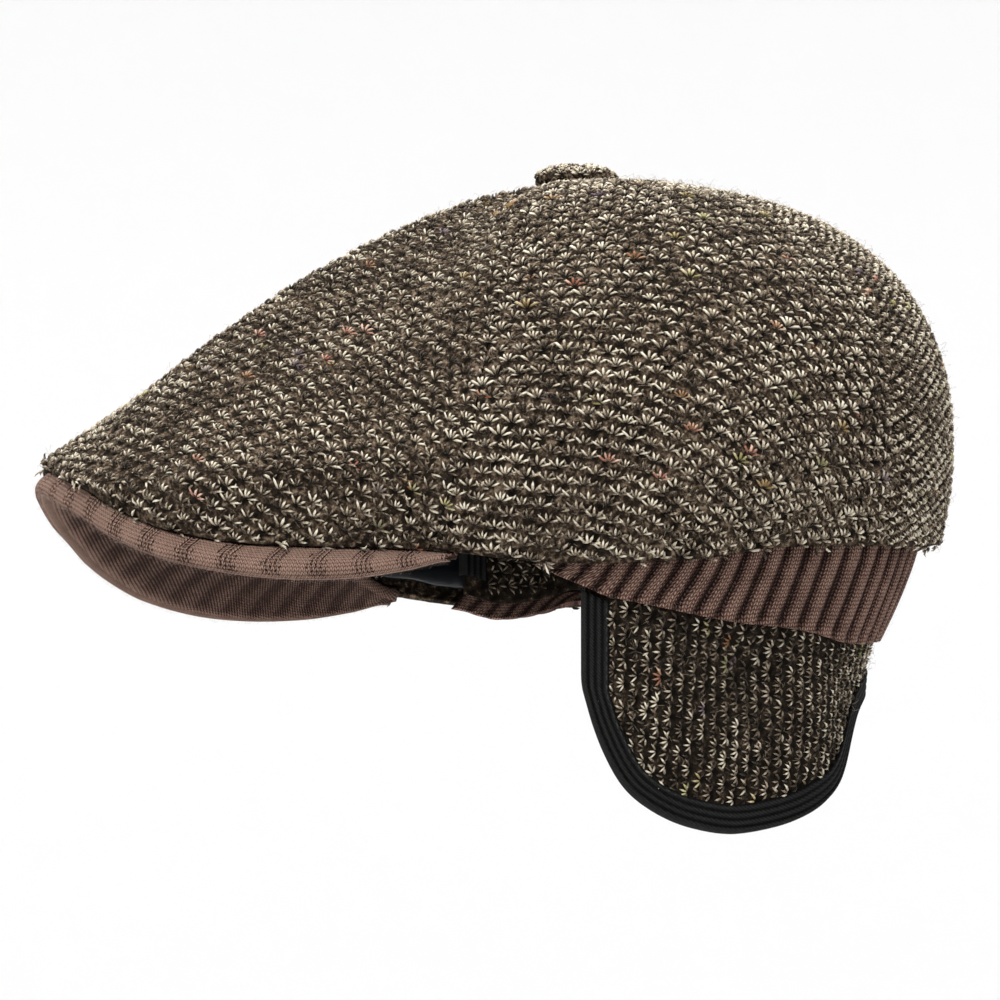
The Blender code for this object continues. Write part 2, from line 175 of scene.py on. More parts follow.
# The peak's lower edge, out from and below the crown's edge.
LIP = {
    "angle": (0, 7, 13, 20, 27, 34, 40, 46, 52, 58),
    "out": (2.5, 2.3, 2, 2, 3, 4.5, 5, 4.8, 4, 2.5),
    "drop": (7, 7, 8, 8.5, 8, 8.6, 9.6, 8.7, 6, 2.5),
}

# The peak's inner edge, round the forehead.
FOREHEAD = {
    "angle": (0, 18, 36, 48, 58),
    "radius": (102, 99.5, 93.5, 89.8, 88.6),
    "height": (26, 21.5, 11, 3, -2.5),
}

# The band's upper inset behind the crown's edge, and its lower edge.
BAND = {
    "angle": (73, 77.5, 82, 87, 98, 108, 117, 127, 135, 144, 154, 166, 180, 193, 206, 225, 245,
              260, 269, 275, 281, 290),
    "inset": (3, 3, 3, 3, 3, 3, 3.5, 4, 4.5, 5, 5, 4.8, 4.8, 4.8, 5, 4.5, 3.5, 3, 3, 3, 3, 3),
    "radius": (83.5, 81.9, 80.9, 80.1, 79.9, 80.8, 83.1, 86, 88, 89.5, 91, 92.8, 94.3, 93.3, 91.5,
               88, 84.5, 82, 80.8, 80.5, 81, 83.5),
    "height": (-4, -7.4, -10, -13, -16, -18.5, -20.2, -21, -22.2, -24, -23.6, -21.5, -20, -19.5,
               -18, -14, -8.5, -3, -6, -7.6, -8, -5),
}

# How deep the earflap is below its seam inside the band.
FLAP = {
    "angle": (81.8, 84, 87, 91, 96, 103.5, 112, 119, 128, 136, 144, 150, 154, 159, 166, 180,
              193, 206, 214, 222, 232, 245, 258, 268, 277, 285, 290),
    "depth": (35, 42.5, 50.5, 58, 62.5, 65.5, 66.4, 66, 63.3, 58.8, 52, 46.3, 41, 34, 26.5, 21,
              20, 21, 32, 45, 55, 62, 64, 61, 54, 42, 30),
}

# Dents and bulges of the hanging flap: angle, depth below its seam, reach, outward push.
FLAP_DENTS = (
    {"angle": 121, "depth": 17, "reach": 13, "push": -4.5},
    {"angle": 138, "depth": 28, "reach": 18, "push": 2.0},
    {"angle": 161, "depth": 24, "reach": 26, "push": -3.0},
    {"angle": 98, "depth": 34, "reach": 24, "push": 1.5},
)

# Strands of one star stitch: turn from its middle line, length, half width, height.
STARS = (
    ((-64, 3.6, 0.4, 0.75), (-30, 3.0, 0.42, 0.9), (-3, 2.7, 0.44, 1.0), (26, 2.9, 0.42, 0.9),
     (62, 3.6, 0.42, 0.7)),
    ((-60, 3.8, 0.42, 0.8), (-20, 2.9, 0.48, 0.95), (14, 2.8, 0.46, 0.95), (64, 3.5, 0.42, 0.7)),
    ((-68, 3.4, 0.38, 0.7), (-38, 2.9, 0.4, 0.85), (-10, 2.8, 0.44, 1.0), (18, 2.7, 0.42, 0.9),
     (58, 3.7, 0.44, 0.75)),
    ((-56, 3.6, 0.44, 0.75), (-12, 3.0, 0.5, 1.0), (32, 3.0, 0.46, 0.85), (68, 3.4, 0.4, 0.65)),
)

# The flap's stars are rounder, with rays of one length.
FLAP_STARS = (
    ((-58, 3.1, 0.38, 0.75), (-22, 2.8, 0.42, 0.9), (12, 2.8, 0.42, 0.9), (50, 3.1, 0.38, 0.75)),
    ((-50, 3.2, 0.38, 0.75), (-8, 2.9, 0.44, 0.9), (42, 3.0, 0.42, 0.8)),
    ((-64, 3.0, 0.36, 0.7), (-32, 2.8, 0.4, 0.85), (2, 2.8, 0.42, 0.9), (32, 2.8, 0.4, 0.85),
     (62, 3.1, 0.36, 0.7)),
)

# Strands of the darker yarn that rings the holes between the stars.
FILLERS = (
    ((-80, 2.6, 0.42, 0.35), (-28, 2.6, 0.4, 0.45), (30, 2.5, 0.42, 0.4)),
    ((-60, 2.4, 0.4, 0.4), (5, 2.7, 0.42, 0.45), (75, 2.5, 0.4, 0.35)),
    ((-35, 2.5, 0.42, 0.45), (20, 2.4, 0.4, 0.4), (85, 2.6, 0.42, 0.3)),
)

# Loose fibres that stand off the yarn: turn, length, half width, height.
FIBRES = (
    ((0, 2.4, 0.035, 1.2),),
    ((0, 3.2, 0.035, 1.5),),
    ((0, 1.7, 0.035, 0.9),),
)

# One stitch of the thread that holds the tape.
THREAD = (((0, 2.1, 0.2, 0.2),),)

# How each panel's cloth lies: its seams, its middle, and the turn of its star stitches.
PANELS = {
    "crown_front": {"start": "far_front", "end": "front", "tilt": -18.0, "pitch": 6.6, "row": 3.7,
                    "seed": 11},
    "crown_side_left": {"start": "front", "end": "rear", "tilt": 24.0, "pitch": 7.0, "row": 3.7,
                        "seed": 12},
    "crown_back": {"start": "rear", "end": "far_rear", "tilt": 0.0, "pitch": 6.0, "row": 2.9,
                   "seed": 13},
    "crown_side_right": {"start": "far_rear", "end": "far_front_turn", "tilt": -24.0,
                         "pitch": 7.0, "row": 3.7, "seed": 14},
}


# Shapes of the pieces


def curve(table, column, angle):
    """One column of a table at any angle, on a smooth curve through its rows."""
    keys = np.asarray(table["angle"], float)
    values = np.asarray(table[column], float)
    slopes = np.zeros(len(keys))
    slopes[1:-1] = (values[2:] - values[:-2]) / (keys[2:] - keys[:-2])
    angle = np.clip(np.asarray(angle, float), keys[0], keys[-1])
    row = np.clip(np.searchsorted(keys, angle, side="right") - 1, 0, len(keys) - 2)
    width = keys[row + 1] - keys[row]
    t = (angle - keys[row]) / width
    start = values[row] * (1 + 2 * t) * (1 - t) ** 2 + slopes[row] * width * t * (1 - t) ** 2
    end = values[row + 1] * t * t * (3 - 2 * t) - slopes[row + 1] * width * t * t * (1 - t)
    return start + end


def folded(angle):
    """The same angle on the wearer's left half, for what is alike on both sides."""
    angle = np.mod(np.asarray(angle, float), 360.0)
    return np.where(angle > 180.0, 360.0 - angle, angle)


def ease(start, end, value):
    """0 before start, 1 after end, and smooth between."""
    t = np.clip((np.asarray(value, float) - start) / (end - start), 0.0, 1.0)
    return t * t * (3 - 2 * t)


def place(angle, radius, height):
    """A point from its turn about the button's axis."""
    turn = np.radians(angle)
    x = radius * np.sin(turn)
    y = AXIS_Y - radius * np.cos(turn)
    return np.stack(np.broadcast_arrays(x, y, height), axis=-1)


def front_seam(share):
    """Angle of the seam between front and side panel, at a share of the way to the button."""
    swing = SEAM_ANGLE["front_top"] - SEAM_ANGLE["front_rim"]
    return SEAM_ANGLE["front_rim"] + swing * (1 - (1 - share) ** SEAM_SWING)


def seam_line(name, share):
    """Angle of a named seam at a share of the way to the button."""
    rear = SEAM_ANGLE["rear"] + 0 * share
    lines = {
        "front": front_seam(share),
        "rear": rear,
        "far_rear": 360 - rear,
        "far_front": -front_seam(share),
        "far_front_turn": 360 - front_seam(share),
    }
    return lines[name]


def crown_profile(angle, share, rim_radius, rim_height, top):
    """Radius and height on one rise of a dome, from its edge (0) to the button (1)."""
    side = folded(angle)
    shoulder = np.maximum(curve(SWELL, "shoulder", side), rim_height + SHOULDER_CLEAR)
    wide = rim_radius * (1 + curve(SWELL, "out", side) / curve(RIM, "radius", side))
    low = shoulder - rim_height
    high = ARC_LENGTH * (wide + top - shoulder)
    split = low / (low + high)
    down = np.clip((split - share) / split, 0.0, 1.0)
    up = np.clip((share - split) / (1 - split), 0.0, 1.0) * math.pi / 2
    radius = np.where(
        share < split,
        wide - (wide - rim_radius) * down**2,
        wide * np.cos(up).clip(0) ** curve(SWELL, "reach_power", side),
    )
    height = np.where(
        share < split,
        shoulder - low * down,
        shoulder + (top - shoulder) * np.sin(up) ** curve(SWELL, "rise_power", side),
    )
    return radius, height


def seam_dip(angle, share, radius):
    """How far the crown is drawn in beside its four seams."""
    side = folded(angle)
    dip = 0.0
    for name in ("front", "rear"):
        away = np.radians(side - seam_line(name, share)) * radius
        dip = dip + SEAM_DIP * np.exp(-((away / SEAM_WIDTH) ** 2))
    return dip * np.minimum(1.0, (1 - share) * SEAM_FADE)


def crown_face(angle, share):
    """The crown's outer face."""
    side = folded(angle)
    radius, height = crown_profile(
        angle, share, curve(RIM, "radius", side), curve(RIM, "height", side), CROWN_TOP
    )
    return place(angle, radius - seam_dip(angle, share, radius), height)


def lining_face(angle, share):
    """The lining's outer face, from the forehead edge and the band up to the button."""
    side = folded(angle)
    front = curve(FOREHEAD, "radius", side) + LINING_BEHIND_BROW
    behind = curve(RIM, "radius", side) - LINING_INSET
    blend = ease(*TEMPLE_ANGLES, side)
    radius = front + (behind - front) * blend
    over_peak = curve(FOREHEAD, "height", side) + PEAK_PLATE + 2 * GAP
    over_band = curve(RIM, "height", side) + LINING_LIFT
    height = over_peak + (over_band - over_peak) * blend
    top = CROWN_TOP - CROWN_WALL - SEAM_DIP
    return place(angle, *crown_profile(angle, share, radius, height, top))


def band_face(angle, share, inset):
    """The band from its hidden upper edge (0) to its lower edge (1), inset by a distance."""
    angle = angle + RIB_LEAN * share * np.sin(np.radians(angle - 180.0) * RIB_LEAN_SPREAD)
    side = folded(angle)
    top_radius = curve(RIM, "radius", side) - curve(BAND, "inset", angle)
    top = curve(RIM, "height", side) + BAND_TUCK
    radius = top_radius + (curve(BAND, "radius", angle) - top_radius) * share**BAND_BEND
    height = top + (curve(BAND, "height", angle) - top) * share
    return place(angle, radius - inset, height)


def flap_turn(angle):
    """How far the flap is turned up into the cap: 0 hangs down, 1 lies up inside."""
    return ease(*FLAP_TURN, angle)


def flap_face(angle, depth, off=0.0):
    """The flap's middle face at a depth below its seam, or off that face by a distance."""
    turn = flap_turn(angle)
    swing = math.pi * turn
    seam_radius = curve(BAND, "radius", angle) - BAND_WALL - GAP - FLAP_WALL / 2
    seam_radius = seam_radius - FLAP_TURN_INSET * turn
    seam_height = curve(BAND, "height", angle) + FLAP_OVERLAP
    push = 0.0
    for dent in FLAP_DENTS:
        along = np.radians(angle - dent["angle"]) * seam_radius
        away = (along**2 + (depth - dent["depth"]) ** 2) / dent["reach"] ** 2
        push = push + dent["push"] * np.exp(-away)
    push = push * ease(*DENT_START, depth) * (1 - turn)
    hang = -FLAP_TAPER * depth * (1 - turn)
    lean = FLAP_LEAN * np.maximum(depth - FLAP_LEAN_START, 0.0) * turn
    out = push + hang + lean
    radius = seam_radius - depth * np.sin(swing) + out * np.cos(swing) ** 2
    height = seam_height - depth * np.cos(swing)
    radius = radius + off * np.cos(swing)
    height = height - off * np.sin(swing)
    return place(angle, radius, height)


def edge_slope(angle):
    """How fast the flap's free edge drops along its length."""
    step = 0.01
    rise = curve(FLAP, "depth", angle + step) - curve(FLAP, "depth", angle - step)
    radius = curve(BAND, "radius", angle) - BAND_WALL
    return rise / (2 * math.radians(step) * radius)


# Cloth and the meshes made from it


def unit(vectors):
    """The same vectors with length 1."""
    return vectors / np.maximum(np.linalg.norm(vectors, axis=-1, keepdims=True), 1e-9)


def steps(points, axis=0):
    """Lengths from each point of a grid to the next along an axis."""
    return np.linalg.norm(np.diff(points, axis=axis), axis=-1)


def run_of(lengths):
    """Distance from a line's start at each of its points."""
    return np.concatenate([[0.0], np.cumsum(lengths)])


def patches(x, y, size, seed):
    """Soft random patches from 0 to 1 over flat cloth, of a size in millimetres."""
    table = np.random.default_rng(seed).random((64, 64))
    x, y = np.asarray(x, float) / size, np.asarray(y, float) / size
    i, j = np.floor(x).astype(int), np.floor(y).astype(int)
    s, t = x - i, y - j
    s, t = s * s * (3 - 2 * s), t * t * (3 - 2 * t)
    low = table[i % 64, j % 64] * (1 - s) + table[(i + 1) % 64, j % 64] * s
    high = table[i % 64, (j + 1) % 64] * (1 - s) + table[(i + 1) % 64, (j + 1) % 64] * s
    return low * (1 - t) + high * t


def flatten(points, pole):
    """The flat cut of a curved grid of points: springs keep each length as near as they can.

    It starts as a sector for cloth that narrows to a pole, or else as upright columns."""
    rows, columns = points.shape[:2]
    across, up = steps(points, 1), steps(points)
    flat = np.zeros((rows, columns, 2))
    flat[1:, :, 1] = np.cumsum(up, axis=0)
    rise = np.diff(flat[..., 1], axis=1)
    flat[:, 1:, 0] = np.cumsum(np.sqrt(np.maximum(across**2 - rise**2, 0.01)), axis=1)
    flat[:, :, 0] -= flat[:, columns // 2, 0][:, None]
    if pole:
        half, middle = rows // 2, columns // 2
        left = np.concatenate([np.cumsum(up[::-1], axis=0)[::-1], np.zeros((1, columns))])
        side = run_of(across[half])
        turn = (side - side[-1] / 2) / left[half, middle]
        reach = left + across[-1].sum() / (turn[-1] - turn[0])
        flat = np.stack([reach * np.sin(turn), reach[0, middle] - reach * np.cos(turn)], axis=-1)
    pairs = []
    for down, right in ((0, 1), (1, 0), (1, 1), (1, -1)):
        a = (slice(0, rows - down), slice(max(0, -right), columns - max(0, right)))
        b = (slice(down, rows), slice(max(0, right), columns + min(0, right)))
        pairs.append((a, b, np.linalg.norm(points[a] - points[b], axis=-1)))
    for _ in range(SPRING_ROUNDS):
        move = np.zeros_like(flat)
        for a, b, length in pairs:
            gap = flat[b] - flat[a]
            now = np.linalg.norm(gap, axis=-1)
            step = gap * ((now - length) / np.maximum(now, 1e-6))[..., None] * SPRING_PULL
            move[a] += step
            move[b] -= step
        flat += move
    return flat


class Cloth:
    """A curved piece of cloth, known by a face over across and along from 0 to 1."""

    def __init__(self, face, cells=44, pole=False):
        self.face = face
        line = np.linspace(0.0, 1.0, cells + 1)
        along, across = np.meshgrid(line, line, indexing="ij")
        self.cells = cells
        self.points = face(across, along)
        self.flat = flatten(self.points, pole)

    def sample(self, grid, across, along):
        """A grid's value at any place on the cloth."""
        x = np.clip(across, 0, 1) * self.cells
        y = np.clip(along, 0, 1) * self.cells
        i = np.minimum(x.astype(int), self.cells - 1)
        j = np.minimum(y.astype(int), self.cells - 1)
        s, t = (x - i)[..., None], (y - j)[..., None]
        low = grid[j, i] * (1 - s) + grid[j, i + 1] * s
        high = grid[j + 1, i] * (1 - s) + grid[j + 1, i + 1] * s
        return low * (1 - t) + high * t

    def slopes(self, across, along):
        """How the place in space changes across and along the cloth."""
        step = 0.002
        right = self.face(across + step, along) - self.face(across - step, along)
        up = self.face(across, along + step) - self.face(across, along - step)
        return right / (2 * step), up / (2 * step)

    def length(self):
        """Length of the cloth's middle column."""
        return steps(self.points[:, self.cells // 2]).sum()

    def area(self):
        """Area of the flat cut, in square metres, and its width and length in metres."""
        f = self.flat
        diagonal = f[1:, 1:] - f[:-1, :-1]
        other = f[1:, :-1] - f[:-1, 1:]
        cross = diagonal[..., 0] * other[..., 1] - diagonal[..., 1] * other[..., 0]
        size = np.ptp(f.reshape(-1, 2), axis=0)
        return abs(cross).sum() / 2 * MM * MM, (size[0] * MM, size[1] * MM)

    def lattice(self, pitch, row, tilt, margins, seed, phase):
        """Places, outward normals and stitch directions on a turned brick lattice."""
        fine = 4 * self.cells + 1
        line = np.linspace(0.0, 1.0, fine)
        along, across = np.meshgrid(line, line, indexing="ij")
        flat = self.sample(self.flat, across, along).reshape(-1, 2)
        tree = KDTree(len(flat))
        for index, (x, y) in enumerate(flat):
            tree.insert((x, y, 0.0), index)
        tree.balance()
        turn = math.radians(tilt)
        up = np.array((math.sin(turn), math.cos(turn)))
        right = np.array((math.cos(turn), -math.sin(turn)))
        corners = np.stack([flat @ right, flat @ up], axis=-1)
        low, high = corners.min(0), corners.max(0)
        rng = np.random.default_rng(seed)
        spots = []
        for k in range(int(low[1] / row) - 1, int(high[1] / row) + 2):
            start = (k % 2) * pitch / 2 + phase * pitch
            for n in range(int(low[0] / pitch) - 1, int(high[0] / pitch) + 2):
                spots.append((start + n * pitch, k * row))
        spots = np.array(spots) + rng.normal(0.0, STITCH_JITTER, (len(spots), 2))
        spots = spots[:, :1] * right + spots[:, 1:] * up
        kept, where = [], []
        for spot in spots:
            _, index, away = tree.find((spot[0], spot[1], 0.0))
            if away < STITCH_FIND:
                kept.append(spot)
                where.append(index)
        spots = np.array(kept)
        where = np.array(where)
        a = across.ravel()[where]
        s = along.ravel()[where]
        step = 0.01
        for _ in range(2):
            here = self.sample(self.flat, a, s)
            da = self.sample(self.flat, a + step, s) - self.sample(self.flat, a - step, s)
            ds = self.sample(self.flat, a, s + step) - self.sample(self.flat, a, s - step)
            da /= np.clip(np.minimum(a + step, 1) - np.maximum(a - step, 0), step, None)[:, None]
            ds /= np.clip(np.minimum(s + step, 1) - np.maximum(s - step, 0), step, None)[:, None]
            det = da[:, 0] * ds[:, 1] - da[:, 1] * ds[:, 0]
            miss = spots - here
            a = a + (miss[:, 0] * ds[:, 1] - miss[:, 1] * ds[:, 0]) / det
            s = s + (da[:, 0] * miss[:, 1] - da[:, 1] * miss[:, 0]) / det
            a, s = np.clip(a, -0.05, 1.05), np.clip(s, -0.05, 1.05)
        width = np.linalg.norm(da, axis=-1)
        height = np.linalg.norm(ds, axis=-1)
        inside = (a * width > margins[0]) & ((1 - a) * width > margins[1])
        inside &= (s * height > margins[2]) & ((1 - s) * height > margins[3])
        a, s, spots = a[inside], s[inside], spots[inside]
        da, ds, det = da[inside], ds[inside], det[inside]
        pa, ps = self.slopes(a, s)
        amount_a = (up[0] * ds[:, 1] - up[1] * ds[:, 0]) / det
        amount_s = (da[:, 0] * up[1] - da[:, 1] * up[0]) / det
        tip_a = (a + amount_a * STAR_REACH) * width[inside]
        tip_s = (s + amount_s * STAR_REACH) * height[inside]
        held = (tip_a > margins[0] - 1.0) & (tip_a < width[inside] - margins[1] + 1.0)
        held &= (tip_s > margins[2]) & (tip_s < height[inside] - margins[3] + 1.0)
        direction = unit(pa * amount_a[:, None] + ps * amount_s[:, None])
        normal = unit(np.cross(pa, ps))
        return {"points": self.face(a, s)[held], "normals": normal[held],
                "ups": direction[held], "flat": spots[held]}


def lines(length, step):
    """Places from 0 to 1 along a length, closer together where the cloth's edge is rounded."""
    near = np.array((0.0, 0.1, 0.3, 0.6, 1.0, 1.4)) * EDGE_ROUND / length
    count = max(2, int(length / step))
    middle = np.linspace(near[-1], 1 - near[-1], count)[1:-1]
    return np.concatenate([near, middle, 1 - near[::-1]])


def edge_round(places, length, wall):
    """Share of the wall's thickness that is left near a rounded edge."""
    away = np.minimum(places, 1 - places) * length / EDGE_ROUND
    soft = np.sqrt(np.clip(1 - (1 - np.clip(away, 0, 1)) ** 2, 0.0, 1))
    return 1 - EDGE_ROUND * 2 / wall * (1 - soft)


def two_faces(cloth, across, along, normal, wall, left, relief):
    """Outer and inner points of a wall under a cloth's face, with relief on its outer side."""
    middle = cloth.face(across, along) - normal * wall / 2
    outer = middle + normal * (left * (wall / 2 + relief))[..., None]
    inner = middle - normal * (left * wall / 2)[..., None]
    return outer, inner


def quads(grid):
    """Four corners of each cell of a grid of point numbers."""
    corners = (grid[:-1, :-1], grid[:-1, 1:], grid[1:, 1:], grid[1:, :-1])
    return np.stack(corners, axis=-1).reshape(-1, 4)


def point_values(mesh, label, values, kind="FLOAT"):
    """Store one value for each point of a mesh as a named attribute."""
    attribute = mesh.attributes.new(label, kind, "POINT")
    numbers = np.asarray(values, np.int32 if kind == "INT" else np.float32)
    attribute.data.foreach_set("vector" if kind == "FLOAT_VECTOR" else "value", numbers.ravel())


def cloth_mesh(name, points, faces, flat, values, material):
    """A piece from points in millimetres, with its flat cut as UV map and its own values."""
    mesh = bpy.data.meshes.new(name)
    mesh.from_pydata((points.reshape(-1, 3) * MM).tolist(), [], faces)
    mesh.shade_smooth()
    layer = mesh.uv_layers.new(name="flat_cut")
    corners = np.zeros(len(mesh.loops), int)
    mesh.loops.foreach_get("vertex_index", corners)
    layer.data.foreach_set("uv", (flat.reshape(-1, 2)[corners] / CUT_UNIT).ravel())
    for label, numbers in values.items():
        point_values(mesh, label, numbers)
    return add_piece(name, mesh, material)


def wall_piece(name, outer, inner, flat, values, material, ring=False):
    """A closed piece between two grids of points in millimetres.

    A ring closes on itself sideways and both its walls are capped at the last row."""
    rows, columns = outer.shape[:2]
    size = rows * columns
    grid = np.arange(size).reshape(rows, columns)
    if ring:
        grid = np.concatenate([grid, grid[:, :1]], axis=1)
    front = quads(grid)
    faces = [front, front[:, ::-1] + size]
    border = [grid[0, :]]
    if not ring:
        border += [grid[-1, ::-1], grid[:, -1], grid[::-1, 0]]
    for line in border:
        here, there = line[:-1], line[1:]
        faces.append(np.stack([here, here + size, there + size, there], axis=-1))
    faces = np.concatenate(faces).tolist()
    if ring:
        faces += [grid[-1, :-1].tolist(), (grid[-1, -2::-1] + size).tolist()]
    both = {label: np.stack([numbers, numbers]) for label, numbers in values.items()}
    return cloth_mesh(name, np.stack([outer, inner]), faces, np.stack([flat, flat]), both, material)


def tube_piece(name, points, flat, values, material):
    """A closed piece through equal loops of points in millimetres, capped at both ends."""
    count, size = points.shape[:2]
    grid = np.arange(count * size).reshape(count, size)
    faces = quads(np.concatenate([grid, grid[:, :1]], axis=1).T).tolist()
    faces += [grid[0].tolist(), grid[-1, ::-1].tolist()]
    return cloth_mesh(name, points, faces, flat, values, material)


def add_piece(name, mesh, material):
    """Put a mesh in the scene as one piece with one material."""
    mesh.materials.clear()
    mesh.materials.append(material)
    thing = bpy.data.objects.new(name, mesh)
    bpy.context.scene.collection.objects.link(thing)
    return thing


# Strands that repeat


def strand_object(name, strands, sides):
    """A small bunch of spindle strands that start at the origin and lie along +Y."""
    points, faces, tones, reaches = [], [], [], []
    steps = ((0.0, 0.0, -0.25), (0.3, 0.95, 0.75), (0.72, 0.9, 1.0), (1.0, 0.0, 0.1))
    for number, (turn, length, width, lift) in enumerate(strands):
        turn = math.radians(turn)
        way = np.array((math.sin(turn), math.cos(turn), 0.0))
        side = np.array((math.cos(turn), -math.sin(turn), 0.0))
        rise = np.array((0.0, 0.0, 1.0))
        start = len(points)
        for share, thick, height in steps:
            middle = way * (0.35 + share * length) + rise * lift * height
            if thick == 0.0:
                points.append(middle)
                continue
            for k in range(sides):
                round_turn = 2 * math.pi * (k + 0.5) / sides
                off = side * math.cos(round_turn) + rise * math.sin(round_turn)
                points.append(middle + off * width * thick)
        ring = start + 1
        last = start + 1 + 2 * sides
        for k in range(sides):
            n = (k + 1) % sides
            faces.append((start, ring + k, ring + n))
            faces.append((ring + k, ring + sides + k, ring + sides + n, ring + n))
            faces.append((ring + sides + k, last, ring + sides + n))
        tones += [number / 5.0] * (last + 1 - start)
        reaches += [0.0] + [0.3] * sides + [0.72] * sides + [1.0]
    mesh = bpy.data.meshes.new(name)
    mesh.from_pydata([tuple(p * MM) for p in points], [], faces)
    mesh.shade_smooth()
    point_values(mesh, "strand", tones)
    # reach runs from each strand's root to its tip; the star yarn paints shade by it near the root.
    point_values(mesh, "reach", reaches)
    return bpy.data.objects.new(name, mesh)


def new_input(tree, name, kind, default=None):
    """A named input socket of a node tree."""
    socket = tree.interface.new_socket(name, in_out="INPUT", socket_type=kind)
    if default is not None:
        socket.default_value = default
    return socket


def enabled(sockets, name):
    """The socket of that name which a node's settings leave in use."""
    return next(socket for socket in sockets if socket.enabled and socket.name == name)


def guide_value(tree, name, kind):
    """A named value of the guide points in a geometry tree."""
    made = node(tree, "GeometryNodeInputNamedAttribute", {"Name": name}, data_type=kind)
    return enabled(made.outputs, "Attribute")


def strand_tree():
    """Geometry nodes that set a bunch of strands on each guide point of a cloth."""
    found = bpy.data.node_groups.get("set_strands")
    if found:
        return found
    tree = bpy.data.node_groups.new("set_strands", "GeometryNodeTree")
    for name, kind, default in (("Guide", "Geometry", None), ("Strands", "Collection", None),
                                ("Size", "Float", 1.0), ("Size spread", "Float", SIZE_SPREAD),
                                ("Seed", "Int", 3), ("Finish", "Material", None)):
        new_input(tree, name, "NodeSocket" + kind, default)
    tree.interface.new_socket("Strands", in_out="OUTPUT", socket_type="NodeSocketGeometry")
    start = node(tree, "NodeGroupInput").outputs
    end = node(tree, "NodeGroupOutput").inputs
    points = node(tree, "GeometryNodeMeshToPoints")
    bunch = node(tree, "GeometryNodeCollectionInfo",
                 {"Separate Children": True, "Reset Children": True})
    turn = node(tree, "FunctionNodeAxesToRotation", primary_axis="Z", secondary_axis="Y")
    draw = node(tree, "FunctionNodeRandomValue", data_type="FLOAT")
    put = node(tree, "GeometryNodeInstanceOnPoints", {"Pick Instance": True})
    real = node(tree, "GeometryNodeRealizeInstances")
    paint = node(tree, "GeometryNodeSetMaterial")
    spread = Value(tree, start["Size spread"])
    (1.0 - spread).feed(enabled(draw.inputs, "Min"))
    (spread + 1.0).feed(enabled(draw.inputs, "Max"))
    size = Value(tree, start["Size"]) * Value(tree, enabled(draw.outputs, "Value"))
    size = size * Value(tree, guide_value(tree, "size", "FLOAT"))
    for source, target in (
        (start["Guide"], points.inputs["Mesh"]),
        (start["Strands"], bunch.inputs["Collection"]),
        (start["Seed"], draw.inputs["Seed"]),
        (guide_value(tree, "facing", "FLOAT_VECTOR"), turn.inputs["Primary Axis"]),
        (guide_value(tree, "heading", "FLOAT_VECTOR"), turn.inputs["Secondary Axis"]),
        (guide_value(tree, "kind", "INT"), put.inputs["Instance Index"]),
        (points.outputs["Points"], put.inputs["Points"]),
        (bunch.outputs["Instances"], put.inputs["Instance"]),
        (turn.outputs["Rotation"], put.inputs["Rotation"]),
        (size.socket, put.inputs["Scale"]),
        (put.outputs["Instances"], real.inputs["Geometry"]),
        (real.outputs["Geometry"], paint.inputs["Geometry"]),
        (start["Finish"], paint.inputs["Material"]),
        (paint.outputs["Geometry"], end["Strands"]),
    ):
        tree.links.new(source, target)
    return tree


def guide_object(name, guide):
    """A mesh of guide points with the values that the strands read."""
    mesh = bpy.data.meshes.new(name)
    mesh.from_pydata((guide["points"] * MM).tolist(), [], [])
    point_values(mesh, "facing", guide["normals"], "FLOAT_VECTOR")
    point_values(mesh, "heading", guide["ups"], "FLOAT_VECTOR")
    for label in ("size", "tone", "accent"):
        point_values(mesh, label, guide[label])
    point_values(mesh, "kind", guide["kind"], "INT")
    thing = bpy.data.objects.new(name, mesh)
    bpy.context.scene.collection.objects.link(thing)
    return thing


def set_strands(name, guide, shapes, sides, material, seed, size=1.0):
    """Run the strand tree over guide points and keep the result as a plain mesh."""
    bunch = bpy.data.collections.new(name + "_bunch")
    for number, strands in enumerate(shapes):
        bunch.objects.link(strand_object(f"{name}_strand_{number}", strands, sides))
    rng = np.random.default_rng(seed)
    guide["kind"] = rng.integers(0, len(shapes), len(guide["points"]))
    source = guide_object(name + "_guide", guide)
    tree = strand_tree()
    modifier = source.modifiers.new("strands", "NODES")
    modifier.node_group = tree
    values = {"Strands": bunch, "Size": size, "Size spread": SIZE_SPREAD, "Seed": seed,
              "Finish": material}
    for item in tree.interface.items_tree:
        if item.in_out == "INPUT" and item.name in values:
            modifier[item.identifier] = values[item.name]
    graph = bpy.context.evaluated_depsgraph_get()
    mesh = bpy.data.meshes.new_from_object(
        source.evaluated_get(graph), preserve_all_data_layers=True, depsgraph=graph
    )
    mesh.name = name
    source.modifiers.remove(modifier)
    bpy.data.objects.remove(source, do_unlink=True)
    for thing in list(bunch.objects):
        bpy.data.objects.remove(thing, do_unlink=True)
    bpy.data.collections.remove(bunch)
    return add_piece(name, mesh, material)


def star_guide(cloth, pitch, row, tilt, margins, seed, phase=0.0, share=1.0):
    """Guide points of the stitches, with each one's own tone and now and then an accent."""
    guide = cloth.lattice(pitch, row, tilt, margins, seed, phase)
    rng = np.random.default_rng(seed + 100)
    count = len(guide["points"])
    x, y = guide["flat"][:, 0], guide["flat"][:, 1]
    cloud = 0.5 * patches(x + 500, y + 500, 17.0, seed) + 0.5 * patches(x + 900, y, 6.0, seed + 1)
    tone = 0.62 + 0.5 * (cloud - 0.5) + rng.normal(0.0, 0.1, count)
    guide["tone"] = np.clip(tone * share, 0.05, 1.0)
    coloured = rng.random(count) < FLECK_SHARE * share**2
    guide["accent"] = np.where(coloured, rng.random(count) * 0.98 + 0.02, 0.0)
    guide["size"] = (0.9 + 0.2 * patches(x + 300, y + 700, 9.0, seed + 2)) * pitch / 7.0
    return guide


